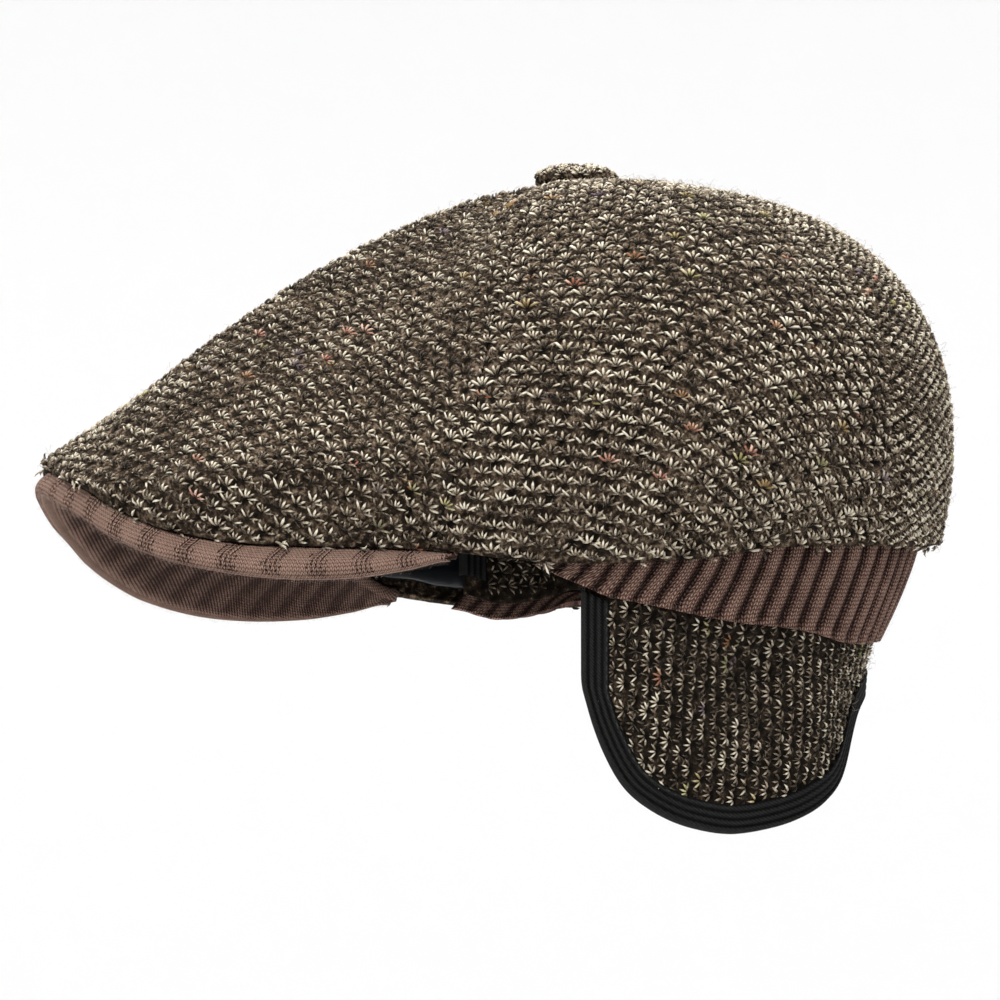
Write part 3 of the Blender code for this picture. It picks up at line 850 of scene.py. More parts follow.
def set_stitches(name, cloth, layout, seed, size, flip=False, painted_shade=0.0, stars=STARS):
    """The stars of one cloth and the darker strands half a stitch beside them."""
    made = []
    for label, shapes, phase, share, sink in (("stars", stars, 0.0, 1.0, 0.0),
                                              ("strands", FILLERS, 0.5, 0.72, 0.15)):
        guide = star_guide(cloth, *layout, seed, phase, share)
        if flip:
            guide["normals"] = -guide["normals"]
        guide["points"] = guide["points"] - guide["normals"] * sink
        # Painted shade: the stitches of a cloth that lies in shade have their tone lowered by this
        # much.
        guide["tone"] = np.clip(guide["tone"] - painted_shade, 0, 1)
        made.append(set_strands(f"{name}_{label}", guide, shapes, 3, finish("star_yarn"),
                                seed, size))
    return made


def fibre_guide(cloth, count, seed, low=0.0, high=1.0, sink=0.0, side=0.0):
    """Guide points of loose fibres, spread at random and leaning every way."""
    rng = np.random.default_rng(seed)
    across = side + (1 - 2 * side) * rng.random(count)
    along = low + (high - low) * rng.random(count)
    right, up = cloth.slopes(across, along)
    normal = unit(np.cross(right, up))
    turn = rng.random((count, 1)) * 2 * math.pi
    heading = unit(right) * np.cos(turn) + unit(up) * np.sin(turn)
    lean = rng.normal(0.0, 0.45, (count, 1))
    facing = unit(normal + heading * lean)
    return {"points": cloth.face(across, along) + normal * (0.25 - sink), "normals": facing,
            "ups": heading, "tone": rng.random(count), "accent": np.zeros(count),
            "size": 0.7 + 0.6 * rng.random(count)}


# Materials


def node(tree, kind, inputs=None, **settings):
    """A new node with its settings and plain input values."""
    made = tree.nodes.new(kind)
    for name, value in settings.items():
        setattr(made, name, value)
    for name, value in (inputs or {}).items():
        made.inputs[name].default_value = value
    return made


class Value:
    """A number in a node tree. Sums and products of values add the maths nodes for them."""

    def __init__(self, tree, socket):
        self.tree = tree
        self.socket = socket

    def __add__(self, other):
        return maths(self.tree, "ADD", self, other)

    def __sub__(self, other):
        return maths(self.tree, "SUBTRACT", self, other)

    def __rsub__(self, other):
        return maths(self.tree, "SUBTRACT", other, self)

    def __mul__(self, other):
        return maths(self.tree, "MULTIPLY", self, other)

    def __abs__(self):
        return maths(self.tree, "ABSOLUTE", self)

    def sine(self):
        return maths(self.tree, "SINE", self)

    def clamped(self):
        """The same value kept between 0 and 1."""
        return maths(self.tree, "ADD", self, 0.0, clamp=True)

    def feed(self, socket):
        """Link the value to an input."""
        self.tree.links.new(self.socket, socket)


def maths(tree, operation, *values, clamp=False):
    """A maths node on values or plain numbers."""
    made = node(tree, "ShaderNodeMath", operation=operation, use_clamp=clamp)
    for slot, value in zip(made.inputs, values):
        if isinstance(value, Value):
            value.feed(slot)
        else:
            slot.default_value = value
    return Value(tree, made.outputs[0])


def ramp(factor, stops):
    """A colour ramp through stops of place and colour, fed by a value."""
    made = node(factor.tree, "ShaderNodeValToRGB")
    elements = made.color_ramp.elements
    while len(elements) < len(stops):
        elements.new(0.5)
    for element, (position, colour) in zip(elements, stops):
        element.position = position
        element.color = (*colour, 1.0)
    factor.feed(made.inputs["Fac"])
    return made.outputs["Color"]


def named_ramp(factor, colours, **places):
    """A ramp through the cap's own colours, each at its place."""
    return ramp(factor, [(place, getattr(colours, name)[:]) for name, place in places.items()])


def new_group(name, inputs, outputs):
    """An empty shader group with named sockets."""
    tree = bpy.data.node_groups.new(name, "ShaderNodeTree")
    for label, default in inputs:
        kind = "NodeSocketVector" if default is None else "NodeSocketFloat"
        new_input(tree, label, kind, default)
    for label in outputs:
        tree.interface.new_socket(label, in_out="OUTPUT", socket_type="NodeSocketFloat")
    return tree, tree.nodes.new("NodeGroupInput"), tree.nodes.new("NodeGroupOutput")


def wool_group():
    """Shader group for woolly yarn: fine fibre height and a slow change of tone."""
    found = bpy.data.node_groups.get("wool_yarn")
    if found:
        return found
    inputs = (("Place", None), ("Fibre scale", FIBRE_SCALE), ("Tone scale", TONE_SCALE))
    tree, start, end = new_group("wool_yarn", inputs, ("Fibre", "Tone"))
    for name, detail, roughness in (("Fibre", 4.0, 0.7), ("Tone", 3.0, 0.6)):
        noise = node(tree, "ShaderNodeTexNoise", {"Detail": detail, "Roughness": roughness})
        tree.links.new(start.outputs["Place"], noise.inputs["Vector"])
        tree.links.new(start.outputs[name + " scale"], noise.inputs["Scale"])
        tree.links.new(noise.outputs["Fac"], end.inputs[name])
    return tree


def wool(tree, fibre_scale=FIBRE_SCALE, tone_scale=TONE_SCALE):
    """Fibre height and slow tone of woolly yarn, as values in a material."""
    made = node(tree, "ShaderNodeGroup", node_tree=wool_group())
    made.inputs["Fibre scale"].default_value = fibre_scale
    made.inputs["Tone scale"].default_value = tone_scale
    tree.links.new(object_place(tree), made.inputs["Place"])
    return Value(tree, made.outputs["Fibre"]), Value(tree, made.outputs["Tone"])


def knit_group():
    """Shader group for fine knit: rows of small V stitches over the flat cut."""
    found = bpy.data.node_groups.get("fine_knit")
    if found:
        return found
    inputs = (("Place", None), ("Across", 60.0), ("Along", 75.0))
    tree, start, end = new_group("fine_knit", inputs, ("Height",))
    split = node(tree, "ShaderNodeSeparateXYZ")
    tree.links.new(start.outputs["Place"], split.inputs[0])
    x = Value(tree, split.outputs["X"]) * Value(tree, start.outputs["Across"])
    y = Value(tree, split.outputs["Y"]) * Value(tree, start.outputs["Along"])
    off = abs(maths(tree, "FRACT", x) - 0.5)
    wave = abs(((y + off * 1.4) * math.pi).sine())
    height = wave * (off * (2 * math.pi)).sine()
    height.feed(end.inputs["Height"])
    return tree


def new_material(name, roughness, sheen, sheen_tint, specular):
    """A material with its constants on the shader's own sockets."""
    material = bpy.data.materials.new(name)
    material.use_nodes = True
    shader = material.node_tree.nodes["Principled BSDF"]
    constants = {"Roughness": roughness, "Specular IOR Level": specular, "Sheen Weight": sheen,
                 "Sheen Roughness": 0.5, "Sheen Tint": (*sheen_tint, 1.0)}
    for label, value in constants.items():
        shader.inputs[label].default_value = value
    return material, material.node_tree, shader


def attribute_value(tree, name):
    """A named value of the mesh."""
    made = node(tree, "ShaderNodeAttribute", attribute_name=name)
    return Value(tree, made.outputs["Fac"])


def object_place(tree):
    """Object coordinates."""
    return node(tree, "ShaderNodeTexCoord").outputs["Object"]


def coat(shader, colour, height=None, strength=0.0, distance=0.0):
    """Feed a colour to the shader and, where it has a height, a bump to its normal."""
    tree = shader.id_data
    tree.links.new(colour, shader.inputs["Base Color"])
    if height is not None:
        made = node(tree, "ShaderNodeBump", {"Strength": strength, "Distance": distance})
        height.feed(made.inputs["Height"])
        tree.links.new(made.outputs["Normal"], shader.inputs["Normal"])


def star_yarn_material(colours):
    """Marled yarn of the star stitches, from dark brown through beige to cream."""
    material, tree, shader = new_material("star_yarn", 0.85, 0.1, colours.cream[:], 0.2)
    fibre, _ = wool(tree)
    tone = attribute_value(tree, "tone")
    mark = node(tree, "ShaderNodeCombineXYZ")
    (tone * 971.0).feed(mark.inputs["X"])
    (attribute_value(tree, "strand") * 37.0).feed(mark.inputs["Y"])
    own = node(tree, "ShaderNodeTexWhiteNoise", noise_dimensions="2D")
    tree.links.new(mark.outputs["Vector"], own.inputs["Vector"])
    spread = (Value(tree, own.outputs["Value"]) - 0.55) * 0.75
    # Painted shade: each strand is darker near its root, where it dips into the knit, and lighter
    # towards its tip.
    root = (attribute_value(tree, "reach") - 0.45) * 0.55
    tone = (tone + spread + root + (fibre - 0.5) * 1.3).clamped()
    yarn = named_ramp(tone, colours, shade=0.0, dark=0.2, brown=0.4, taupe=0.6, beige=0.8,
                      cream=1.0)
    accent = attribute_value(tree, "accent")
    bright = named_ramp(accent, colours, pink=0.0, orange=0.3, green=0.6, purple=0.9)
    marked = maths(tree, "GREATER_THAN", accent, 0.001) * 0.45
    both = node(tree, "ShaderNodeMix", data_type="RGBA")
    for name, socket in (("Factor", marked.socket), ("A", yarn), ("B", bright)):
        tree.links.new(socket, enabled(both.inputs, name))
    coat(shader, enabled(both.outputs, "Result"), fibre, 0.6, 0.0004)
    return material


def ground_material(name, colours):
    """The ground of the knit between the stars, with painted shade in its hollows."""
    material, tree, shader = new_material(name, 0.95, 0.03, colours.beige[:], 0.05)
    fibre, slow = wool(tree, 650.0, 110.0)
    hollow = attribute_value(tree, "hollow")
    # Painted shade: hollow darkens the ground in the dips between the stitches.
    tone = (fibre * 1.6 + (slow * 0.5 - 0.33) - hollow * 0.45).clamped()
    colour = named_ramp(tone, colours, shade=0.35, dark=0.66, brown=0.8, taupe=1.0)
    coat(shader, colour, fibre, 0.9, 0.0006)
    return material


def ribbing_material(name, colours, across, along, contrast):
    """Reddish brown fine knit of the band and the peak."""
    material, tree, shader = new_material(name, 0.95, 0.06, colours.rib_light[:], 0.1)
    knit = node(tree, "ShaderNodeGroup", node_tree=knit_group())
    knit.inputs["Across"].default_value = across
    knit.inputs["Along"].default_value = along
    cut = node(tree, "ShaderNodeUVMap", uv_map="flat_cut")
    tree.links.new(cut.outputs["UV"], knit.inputs["Place"])
    loops = Value(tree, knit.outputs["Height"])
    fibre, slow = wool(tree, 1100.0, 90.0)
    tone = (loops - 0.5) * contrast + (fibre * 0.8 + 0.21)
    # Painted shade from groove: in the dips between the band's ribs and the peak's ridges, and under
    # the peak. Painted light from light: on the peak's lip, with a painted highlight along its lower
    # edge; it also darkens the underside a little.
    tone = tone - attribute_value(tree, "groove") * 0.6 + (slow - 0.5) * 0.4
    tone = (tone + attribute_value(tree, "light") * 0.45).clamped()
    colour = named_ramp(tone, colours, rib_dark=0.12, rib=0.5, rib_light=0.95)
    coat(shader, colour, loops + fibre * 0.8, 0.9, 0.0006)
    return material


def satin_material(colours):
    """Black satin with a cool sheen and a fine weave."""
    material, tree, shader = new_material("satin_cloth", 0.32, 0.1, colours.satin_sheen[:], 0.5)
    fibre, slow = wool(tree, 900.0, 40.0)
    colour = named_ramp(slow * 0.75, colours, satin=0.3, satin_sheen=0.8)
    coat(shader, colour, fibre, 0.15, 0.0002)
    return material


def tape_material(colours):
    """Black woven tape with a faint slanting weave."""
    material, tree, shader = new_material("woven_tape", 0.85, 0.0, colours.tape_light[:], 0.06)
    weave = node(tree, "ShaderNodeTexWave", {"Scale": 620.0, "Distortion": 0.6, "Detail": 1.0},
                 wave_type="BANDS", bands_direction="DIAGONAL")
    tree.links.new(object_place(tree), weave.inputs["Vector"])
    fibre, _ = wool(tree, 1600.0, 120.0)
    tone = (Value(tree, weave.outputs["Fac"]) * 0.2 + fibre * 0.6).clamped()
    # Painted shade from groove, between the raised threads and on the inner faces.
    tone = (tone - attribute_value(tree, "groove") * 0.6).clamped()
    coat(shader, named_ramp(tone, colours, tape=0.1, tape_light=0.75), tone, 0.6, 0.0003)
    return material


def plain_material(name, colour, roughness):
    """Threads and fibres: one colour with a woolly change of tone."""
    material, tree, shader = new_material(name, roughness, 0.2, colour, 0.2)
    fibre, _ = wool(tree, 400.0)
    darker = tuple(0.45 * value for value in colour)
    coat(shader, ramp(fibre, ((0.3, darker), (0.65, colour))))
    return material


def paper_material(colours):
    """Plain pale studio paper with hardly any grain."""
    material, tree, shader = new_material("studio_paper", 1.0, 0.0, (1.0, 1.0, 1.0), 0.0)
    grain = node(tree, "ShaderNodeTexNoise", {"Scale": 3.0})
    tree.links.new(object_place(tree), grain.inputs["Vector"])
    paler = tuple(min(1.0, 1.01 * value) for value in colours.paper)
    stops = ((0.0, colours.paper[:]), (1.0, paler))
    coat(shader, ramp(Value(tree, grain.outputs["Fac"]), stops))
    return material


def finish(name):
    """A material that is built once and shared."""
    found = bpy.data.materials.get(name)
    if found:
        return found
    colours = bpy.context.scene.cap_colours
    makers = {
        "star_yarn": lambda: star_yarn_material(colours),
        "knit_ground": lambda: ground_material("knit_ground", colours),
        "rib_knit": lambda: ribbing_material("rib_knit", colours, 61.0, 85.0, 0.6),
        "peak_knit": lambda: ribbing_material("peak_knit", colours, 96.0, 88.0, 1.0),
        "satin_cloth": lambda: satin_material(colours),
        "woven_tape": lambda: tape_material(colours),
        "thread": lambda: plain_material("thread", colours.tape_light[:], 0.8),
        "loose_fibre": lambda: plain_material("loose_fibre", colours.fibre[:], 0.95),
        "rib_fibre": lambda: plain_material("rib_fibre", colours.rib_fibre[:], 0.95),
        "studio_paper": lambda: paper_material(colours),
    }
    return makers[name]()


# Settings


def length_setting(name, description, default, low=0.0):
    """A length that a user may change."""
    return bpy.props.FloatProperty(
        name=name, description=description, default=default, unit="LENGTH", min=low)


class CapSizes(bpy.types.PropertyGroup):
    """Sizes of the cap's knit and tape."""

    stitch_scale: bpy.props.FloatProperty(
        name="Stitch scale", description="Scale of the distances between star stitches",
        default=1.0, min=0.4)
    flap_pitch: length_setting(
        "Flap stitch pitch", "Distance between stars along the flap's rows", 0.0071, 0.003)
    flap_row: length_setting(
        "Flap row pitch", "Distance between the flap's rows of stars", 0.0037, 0.002)
    star_size: bpy.props.FloatProperty(
        name="Star size", description="Scale of one star stitch", default=1.0, min=0.1)
    cloth_grid: length_setting(
        "Cloth grid", "Distance between the points of a knitted wall", 0.0024, 0.0005)
    rib_relief: length_setting(
        "Rib relief", "Depth of the grooves between the band's ribs", 0.0016)
    peak_ridge: length_setting("Peak ridge", "Height of the thin ridges on the peak", 0.0008)
    thread_pitch: length_setting(
        "Thread pitch", "Distance between the stitches that hold the tape", 0.0028, 0.001)
    fibre_count: bpy.props.IntProperty(
        name="Loose fibres", description="Fibres that stand off each crown panel",
        default=1500, min=0)


def colour_setting(name, description, default):
    """A colour that a user may change."""
    return bpy.props.FloatVectorProperty(
        name=name, description=description, default=default, subtype="COLOR", min=0.0, max=1.0)


class CapColours(bpy.types.PropertyGroup):
    """Colours of the cap's yarns and cloths."""

    cream: colour_setting("Cream", "Lightest yarn", (0.7, 0.64, 0.515))
    beige: colour_setting("Beige", "Light yarn", (0.48, 0.41, 0.3))
    taupe: colour_setting("Taupe", "Middle yarn", (0.2, 0.155, 0.11))
    brown: colour_setting("Brown", "Dark yarn", (0.07, 0.048, 0.032))
    dark: colour_setting("Dark", "Darkest yarn", (0.018, 0.013, 0.009))
    shade: colour_setting("Shade", "Deep gaps of the knit", (0.004, 0.003, 0.002))
    pink: colour_setting("Pink", "Fleck of pink yarn", (0.55, 0.16, 0.14))
    orange: colour_setting("Orange", "Fleck of orange yarn", (0.42, 0.17, 0.06))
    green: colour_setting("Green", "Fleck of yellow-green yarn", (0.42, 0.42, 0.14))
    purple: colour_setting("Purple", "Fleck of purple yarn", (0.12, 0.08, 0.14))
    # The ribbing colours also carry painted shade, rib_dark in the grooves and under the peak, and
    # painted light, rib_light on the peak's lip.
    rib: colour_setting("Ribbing", "Reddish brown yarn", (0.105, 0.055, 0.043))
    rib_light: colour_setting("Light ribbing", "Top of the brown stitches", (0.4, 0.265, 0.205))
    rib_dark: colour_setting("Dark ribbing", "Grooves of the brown knit", (0.01, 0.005, 0.004))
    satin: colour_setting("Satin", "Black satin", (0.004, 0.005, 0.006))
    satin_sheen: colour_setting("Satin sheen", "Cool light on satin", (0.03, 0.036, 0.045))
    tape: colour_setting("Tape", "Black tape", (0.0015, 0.0015, 0.0015))
    tape_light: colour_setting("Light tape", "Raised threads of tape", (0.026, 0.026, 0.025))
    rib_fibre: colour_setting("Loose ribbing fibre", "Fibres off the brown yarn", (0.55, 0.43, 0.37))
    fibre: colour_setting("Loose fibre", "Fibres off the yarn", (0.42, 0.33, 0.24))
    paper: colour_setting("Studio paper", "Floor and backdrop", (0.86, 0.86, 0.86))


class MakeCrown(bpy.types.Operator):
    """Four knitted panels with star stitches"""

    bl_idname = "cap.make_crown"
    bl_label = "Crown"

    def execute(self, context):
        for name, panel in PANELS.items():
            make_panel(name, panel, context.scene.cap_sizes)
        return {"FINISHED"}


def make_panel(name, panel, sizes):
    """One crown panel: its wall, its stars, the darker strands between and loose fibres."""
    def face(across, along):
        share = np.clip(along, -0.01, 1.01) * CROWN_END
        clear = np.degrees(GAP / 2 / (20.0 + 70.0 * (1 - share)))
        low = seam_line(panel["start"], share) + clear
        high = seam_line(panel["end"], share) - clear
        return crown_face(low + (high - low) * across, share)

    cloth = Cloth(face, pole=True)
    seed, tilt = panel["seed"], panel["tilt"]
    pitch, row = panel["pitch"] * sizes.stitch_scale, panel["row"] * sizes.stitch_scale
    width, length = steps(cloth.points[0]).sum(), cloth.length()
    step = sizes.cloth_grid / MM
    across, along = np.meshgrid(lines(width, step), lines(length, step))
    normal = unit(np.cross(*cloth.slopes(across, along)))
    flat = cloth.sample(cloth.flat, across, along)
    turn = math.radians(tilt)
    x = flat[..., 0] * math.cos(turn) - flat[..., 1] * math.sin(turn)
    y = flat[..., 0] * math.sin(turn) + flat[..., 1] * math.cos(turn)
    # hollow marks the dips between the stitches: the wall sinks there, and the ground material
    # paints shade into them.
    hollow = np.clip(np.cos(2 * math.pi * x / pitch) * np.cos(math.pi * y / row), 0, 1) ** 2
    relief = 0.15 - 0.6 * hollow + np.random.default_rng(seed).normal(0.0, 0.12, hollow.shape)
    left = edge_round(across, width, CROWN_WALL) * edge_round(along, length, CROWN_WALL)
    outer, inner = two_faces(cloth, across, along, normal, CROWN_WALL, left, relief)
    wall = wall_piece(name + "_knit", outer, inner, flat, {"hollow": hollow},
                      finish("knit_ground"))
    stitches = set_stitches(name, cloth, (pitch, row, tilt, PANEL_MARGINS), seed,
                            sizes.star_size)
    loose = fibre_guide(cloth, sizes.fibre_count, seed)
    fibres = set_strands(name + "_fibres", loose, FIBRES, 3, finish("loose_fibre"), seed + 2)
    attach([wall, *stitches, fibres], name)
    area, cut = cloth.area()


def attach(pieces, solid):
    """Fix pieces to the part's one body, and hide the solid of the frame that they replace."""
    for piece in pieces:
        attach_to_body(piece, "root")
    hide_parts(solid)


class MakeButton(bpy.types.Operator):
    """Covered button over the point where the panels meet"""

    bl_idname = "cap.make_button"
    bl_label = "Button"

    def execute(self, context):
        sizes = context.scene.cap_sizes

        def face(across, along):
            rise = np.clip(along, 0.0, 1.0) * math.pi / 2
            radius = BUTTON_RADIUS * np.cos(rise * BUTTON_ROUND) ** 0.6
            height = CROWN_TOP + GAP + 1.2 + (BUTTON_RISE - 1.2) * np.sin(rise)
            return place(360.0 * across, radius, height)

        turns = np.linspace(0.0, 1.0, 72, endpoint=False)
        rises = np.concatenate([np.linspace(0.0, 0.9, 18), (0.95, 0.985, 1.0)])
        across, along = np.meshgrid(turns, rises)
        outer = face(across, along)
        rng = np.random.default_rng(SEEDS["button"])
        outer[..., 2] += rng.normal(0.0, 0.08, outer.shape[:2])
        inner = outer * (0.97, 0.97, 1.0)
        inner[..., 1] = AXIS_Y + (outer[..., 1] - AXIS_Y) * 0.97
        inner[..., 2] = np.minimum(inner[..., 2] - 0.8, CROWN_TOP + GAP + 0.4)
        flat = outer[..., :2]
        wall = wall_piece("button_knit", outer, inner, flat, {"hollow": 0 * across},
                          finish("knit_ground"), ring=True)
        count = BUTTON_STARS
        angles = rng.random(count) * 360.0
        reach = np.sqrt(rng.random(count)) * 0.98
        along = 1 - reach
        points = face(angles / 360.0, along)
        ahead = face(angles / 360.0, along + 0.01)
        beside = face(angles / 360.0 + 0.003, along)
        normal = unit(np.cross(beside - points, ahead - points))
        heading = np.array((0.3, -0.4, 0.9))
        up = unit(heading - normal * (normal @ heading)[:, None])
        guide = {"points": points - normal * 0.1, "normals": normal, "ups": up,
                 "tone": np.clip(rng.normal(0.68, 0.2, count), 0, 1), "accent": np.zeros(count),
                 "size": np.full(count, 0.72)}
        stars = set_strands("button_stars", guide, STARS, 3, finish("star_yarn"),
                            SEEDS["button_stars"], sizes.star_size)
        attach([wall, stars], "button")
        return {"FINISHED"}


def peak_section(angle):
    """Corners of the peak's section at one angle, as radius and height."""
    side = folded(angle)
    rim, edge = curve(RIM, "radius", side), curve(RIM, "height", side)
    out, drop = curve(LIP, "out", side), curve(LIP, "drop", side)
    inner, brow = curve(FOREHEAD, "radius", side), curve(FOREHEAD, "height", side)
    tuck = rim - CROWN_WALL - 3 * GAP
    seat = edge - PEAK_SEAT
    lip, low = rim + out - 1.5, edge - drop
    arch = PEAK_ARCH * (1 - (side / PEAK_ANGLE) ** 2)
    return np.array((
        (lip, low),
        (rim + out + 0.5, low + 0.2 * drop),
        (rim + 0.85 * out, low + 0.55 * drop),
        (rim + 0.2 * out - 0.4, seat - 0.1 * drop),
        (rim - 0.8, seat),
        (tuck, seat),
        (min(inner + 2.2, tuck), brow + PEAK_PLATE),
        (inner, brow + 0.6 * PEAK_PLATE),
        (inner + 0.8, brow),
        (inner + 0.36 * (lip - inner), brow + 0.36 * (low - brow) + arch),
        (inner + 0.72 * (lip - inner), brow + 0.72 * (low - brow) + arch),
    ))


def rounded_loop(corners, counts):
    """A closed smooth line through corners, with a count of points for each side."""
    found = []
    size = len(corners)
    for k, count in enumerate(counts):
        before, here = corners[k - 1], corners[k]
        there, after = corners[(k + 1) % size], corners[(k + 2) % size]
        slope_here = (there - before) * 0.5
        slope_there = (after - here) * 0.5
        limit = np.linalg.norm(there - here)
        slope_here = slope_here * min(1.0, limit / max(np.linalg.norm(slope_here), 1e-6))
        slope_there = slope_there * min(1.0, limit / max(np.linalg.norm(slope_there), 1e-6))
        for t in np.arange(count) / count:
            found.append(here * (1 + 2 * t) * (1 - t) ** 2 + slope_here * t * (1 - t) ** 2
                         + there * t * t * (3 - 2 * t) - slope_there * t * t * (1 - t))
    return np.array(found)


class MakePeak(bpy.types.Operator):
    """Stiff peak covered in brown knit, with thin ridges over its lip"""

    bl_idname = "cap.make_peak"
    bl_label = "Peak"

    def execute(self, context):
        sizes = context.scene.cap_sizes
        counts, stations = PEAK_COUNTS, PEAK_STATIONS
        angles = np.linspace(-PEAK_ANGLE, PEAK_ANGLE, stations + 1)
        loops = np.array([rounded_loop(peak_section(a), counts) for a in angles])
        points = place(angles[:, None], loops[..., 0], loops[..., 1])
        run = run_of(steps(points[:, 0]))
        run = run - run[stations // 2]
        around = np.linalg.norm(np.diff(points, axis=1, append=points[:, :1]), axis=-1)
        around = np.cumsum(around, axis=1) - around
        count = points.shape[1]
        row = np.arange(count)
        top = ease(1.0, 4.0, row) * (1 - ease(sum(counts[:4]) - 1.0, sum(counts[:4]), row))
        under = ease(sum(counts[:8]), sum(counts[:8]) + 2.0, row)
        under = under * (1 - ease(count - 3.0, count, row))
        # seam marks the lip's lower edge, where the section's loop closes: it gets a small raised
        # line and a painted highlight.
        seam = np.exp(-((np.minimum(row, count - row) / 1.3) ** 2))
        bend = run[:, None] + 0.12 * around * top + 0.8 * np.sin(around / 4.0) * top
        within = np.mod(bend, PEAK_PERIOD)
        thin = np.abs(np.sin(math.pi * within / RIDGE_PITCH)) ** 0.8
        ridge = np.where(within < RIDGE_COUNT * RIDGE_PITCH, thin, 0.9)
        slant = run[:, None] + 0.35 * around
        stripe = ease(-0.75, 0.55, np.sin(2 * math.pi * slant / UNDER_STRIPE))
        # Painted shade: dark in the grooves between the lip's thin ridges, and over the underside of
        # the peak, most between its raised stripes.
        groove = 1.7 * (1 - ridge) * top + (0.56 - 0.3 * stripe) * under
        # Painted light and shade: the lip's outer face is painted lighter, its lower edge lighter
        # still as a painted highlight, and the underside darker.
        light = np.broadcast_to(1.3 * seam + 0.75 * top - 0.2 * under, points.shape[:2])
        right = np.gradient(points, axis=0)
        up = np.gradient(points, axis=1)
        normal = unit(np.cross(right, up))
        rise = top * sizes.peak_ridge / MM * (ridge - 0.5) - under * 0.5 * (1 - stripe)
        rise = rise + 0.35 * seam * (np.minimum(row, count - row) < 3)
        points = points + normal * rise[..., None]
        flat = np.stack(np.broadcast_arrays(run[:, None], around), axis=-1)
        piece = tube_piece("peak_knit", points, flat, {"groove": groove, "light": light},
                           finish("peak_knit"))
        rng = np.random.default_rng(SEEDS["peak"])
        fuzz = PEAK_FIBRES
        spots = rng.integers(2, stations - 2, fuzz)
        rows = np.where(rng.random(fuzz) < 0.6, rng.integers(0, 2, fuzz),
                        rng.integers(0, 14, fuzz))
        heading = unit(right[spots, rows]) * rng.normal(0, 1, (fuzz, 1)) + unit(up[spots, rows])
        facing = unit(normal[spots, rows] + unit(heading) * rng.normal(0.0, 0.5, (fuzz, 1)))
        guide = {"points": points[spots, rows], "normals": facing, "ups": unit(heading),
                 "tone": rng.random(fuzz), "accent": np.zeros(fuzz),
                 "size": 0.26 + 0.26 * rng.random(fuzz)}
        fibres = set_strands("peak_fibres", guide, FIBRES, 3, finish("rib_fibre"),
                             SEEDS["peak_fibres"])
        attach([piece, fibres], "peak")
        return {"FINISHED"}


class MakeBand(bpy.types.Operator):
    """Ribbed band from temple to temple round the back"""

    bl_idname = "cap.make_band"
    bl_label = "Band"

    def execute(self, context):
        sizes = context.scene.cap_sizes
        relief = sizes.rib_relief / MM
        low, high = BAND_ANGLES

        def rib(across):
            return ease(-0.1, 1.0, np.abs(np.sin(math.pi * across * RIB_COUNT)))

        def face(across, along):
            return band_face(low + (high - low) * across, np.clip(along, 0, 1.02), 0.0)

        cloth = Cloth(face)
        length = cloth.length()
        columns = np.linspace(0.0, 1.0, RIB_COUNT * RIB_COLUMNS + 1)
        across, along = np.meshgrid(columns, lines(length, BAND_ROW))
        right, up = cloth.slopes(across, along)
        normal = unit(np.cross(up, right))
        # groove both sinks the wall between the ribs and, in the ribbing material, paints shade
        # there; less near the lower edge.
        groove = (1 - rib(across)) * (1 - 0.6 * ease(0.93, 1.0, along))
        left = edge_round(along, length, BAND_WALL)
        outer, inner = two_faces(cloth, across, along, normal, BAND_WALL, left, -relief * groove)
        flat = cloth.sample(cloth.flat, across, along)
        wall = wall_piece("band_knit", outer[::-1], inner[::-1], flat[::-1],
                          {"groove": groove[::-1], "light": 0 * groove[::-1]},
                          finish("rib_knit"))
        loose = fibre_guide(cloth, BAND_FIBRES, SEEDS["band"], low=0.2, high=1.0, sink=0.4)
        loose["normals"] = -loose["normals"]
        loose["points"] = loose["points"] + loose["normals"] * 0.3
        loose["size"] = loose["size"] * 0.32
        fibres = set_strands("band_fibres", loose, FIBRES, 3, finish("rib_fibre"),
                             SEEDS["band_fibres"])
        attach([wall, fibres], "band")
        area, cut = cloth.area()
        return {"FINISHED"}


class MakeLining(bpy.types.Operator):
    """Satin lining, gathered a little at its edge"""

    bl_idname = "cap.make_lining"
    bl_label = "Lining"

    def execute(self, context):
        turns = np.linspace(0.0, 360.0, 240, endpoint=False)
        shares = np.concatenate([np.linspace(0.0, LINING_END, 30), (0.985, 0.999)])
        angle, share = np.meshgrid(turns, shares)
        outer = lining_face(angle, share)
        step = 0.5
        right = lining_face(angle + step, share) - lining_face(angle - step, share)
        up = lining_face(angle, np.minimum(share + 0.004, 1.0)) - lining_face(angle, share - 0.004)
        normal = unit(np.cross(right, up))
        fold = patches(angle / 5.0 + 40, share * 6.0 + 11, 1.0, SEEDS["lining"]) - 0.5
        gather = np.abs(np.sin(np.radians(angle) * 27 + 5 * fold)) ** 2
        dip = (1.1 * gather * (1 - share) ** 3 + 1.3 * np.abs(fold)) * ease(0.0, 0.03, 1 - share)
        outer = outer - normal * dip[..., None]
        inner = outer - normal * LINING_WALL
        flat = np.stack([np.radians(angle) * 90.0, share * 150.0], axis=-1)
        wall = wall_piece("lining_satin", outer, inner, flat, {}, finish("satin_cloth"), ring=True)
        attach([wall], "lining")
        return {"FINISHED"}


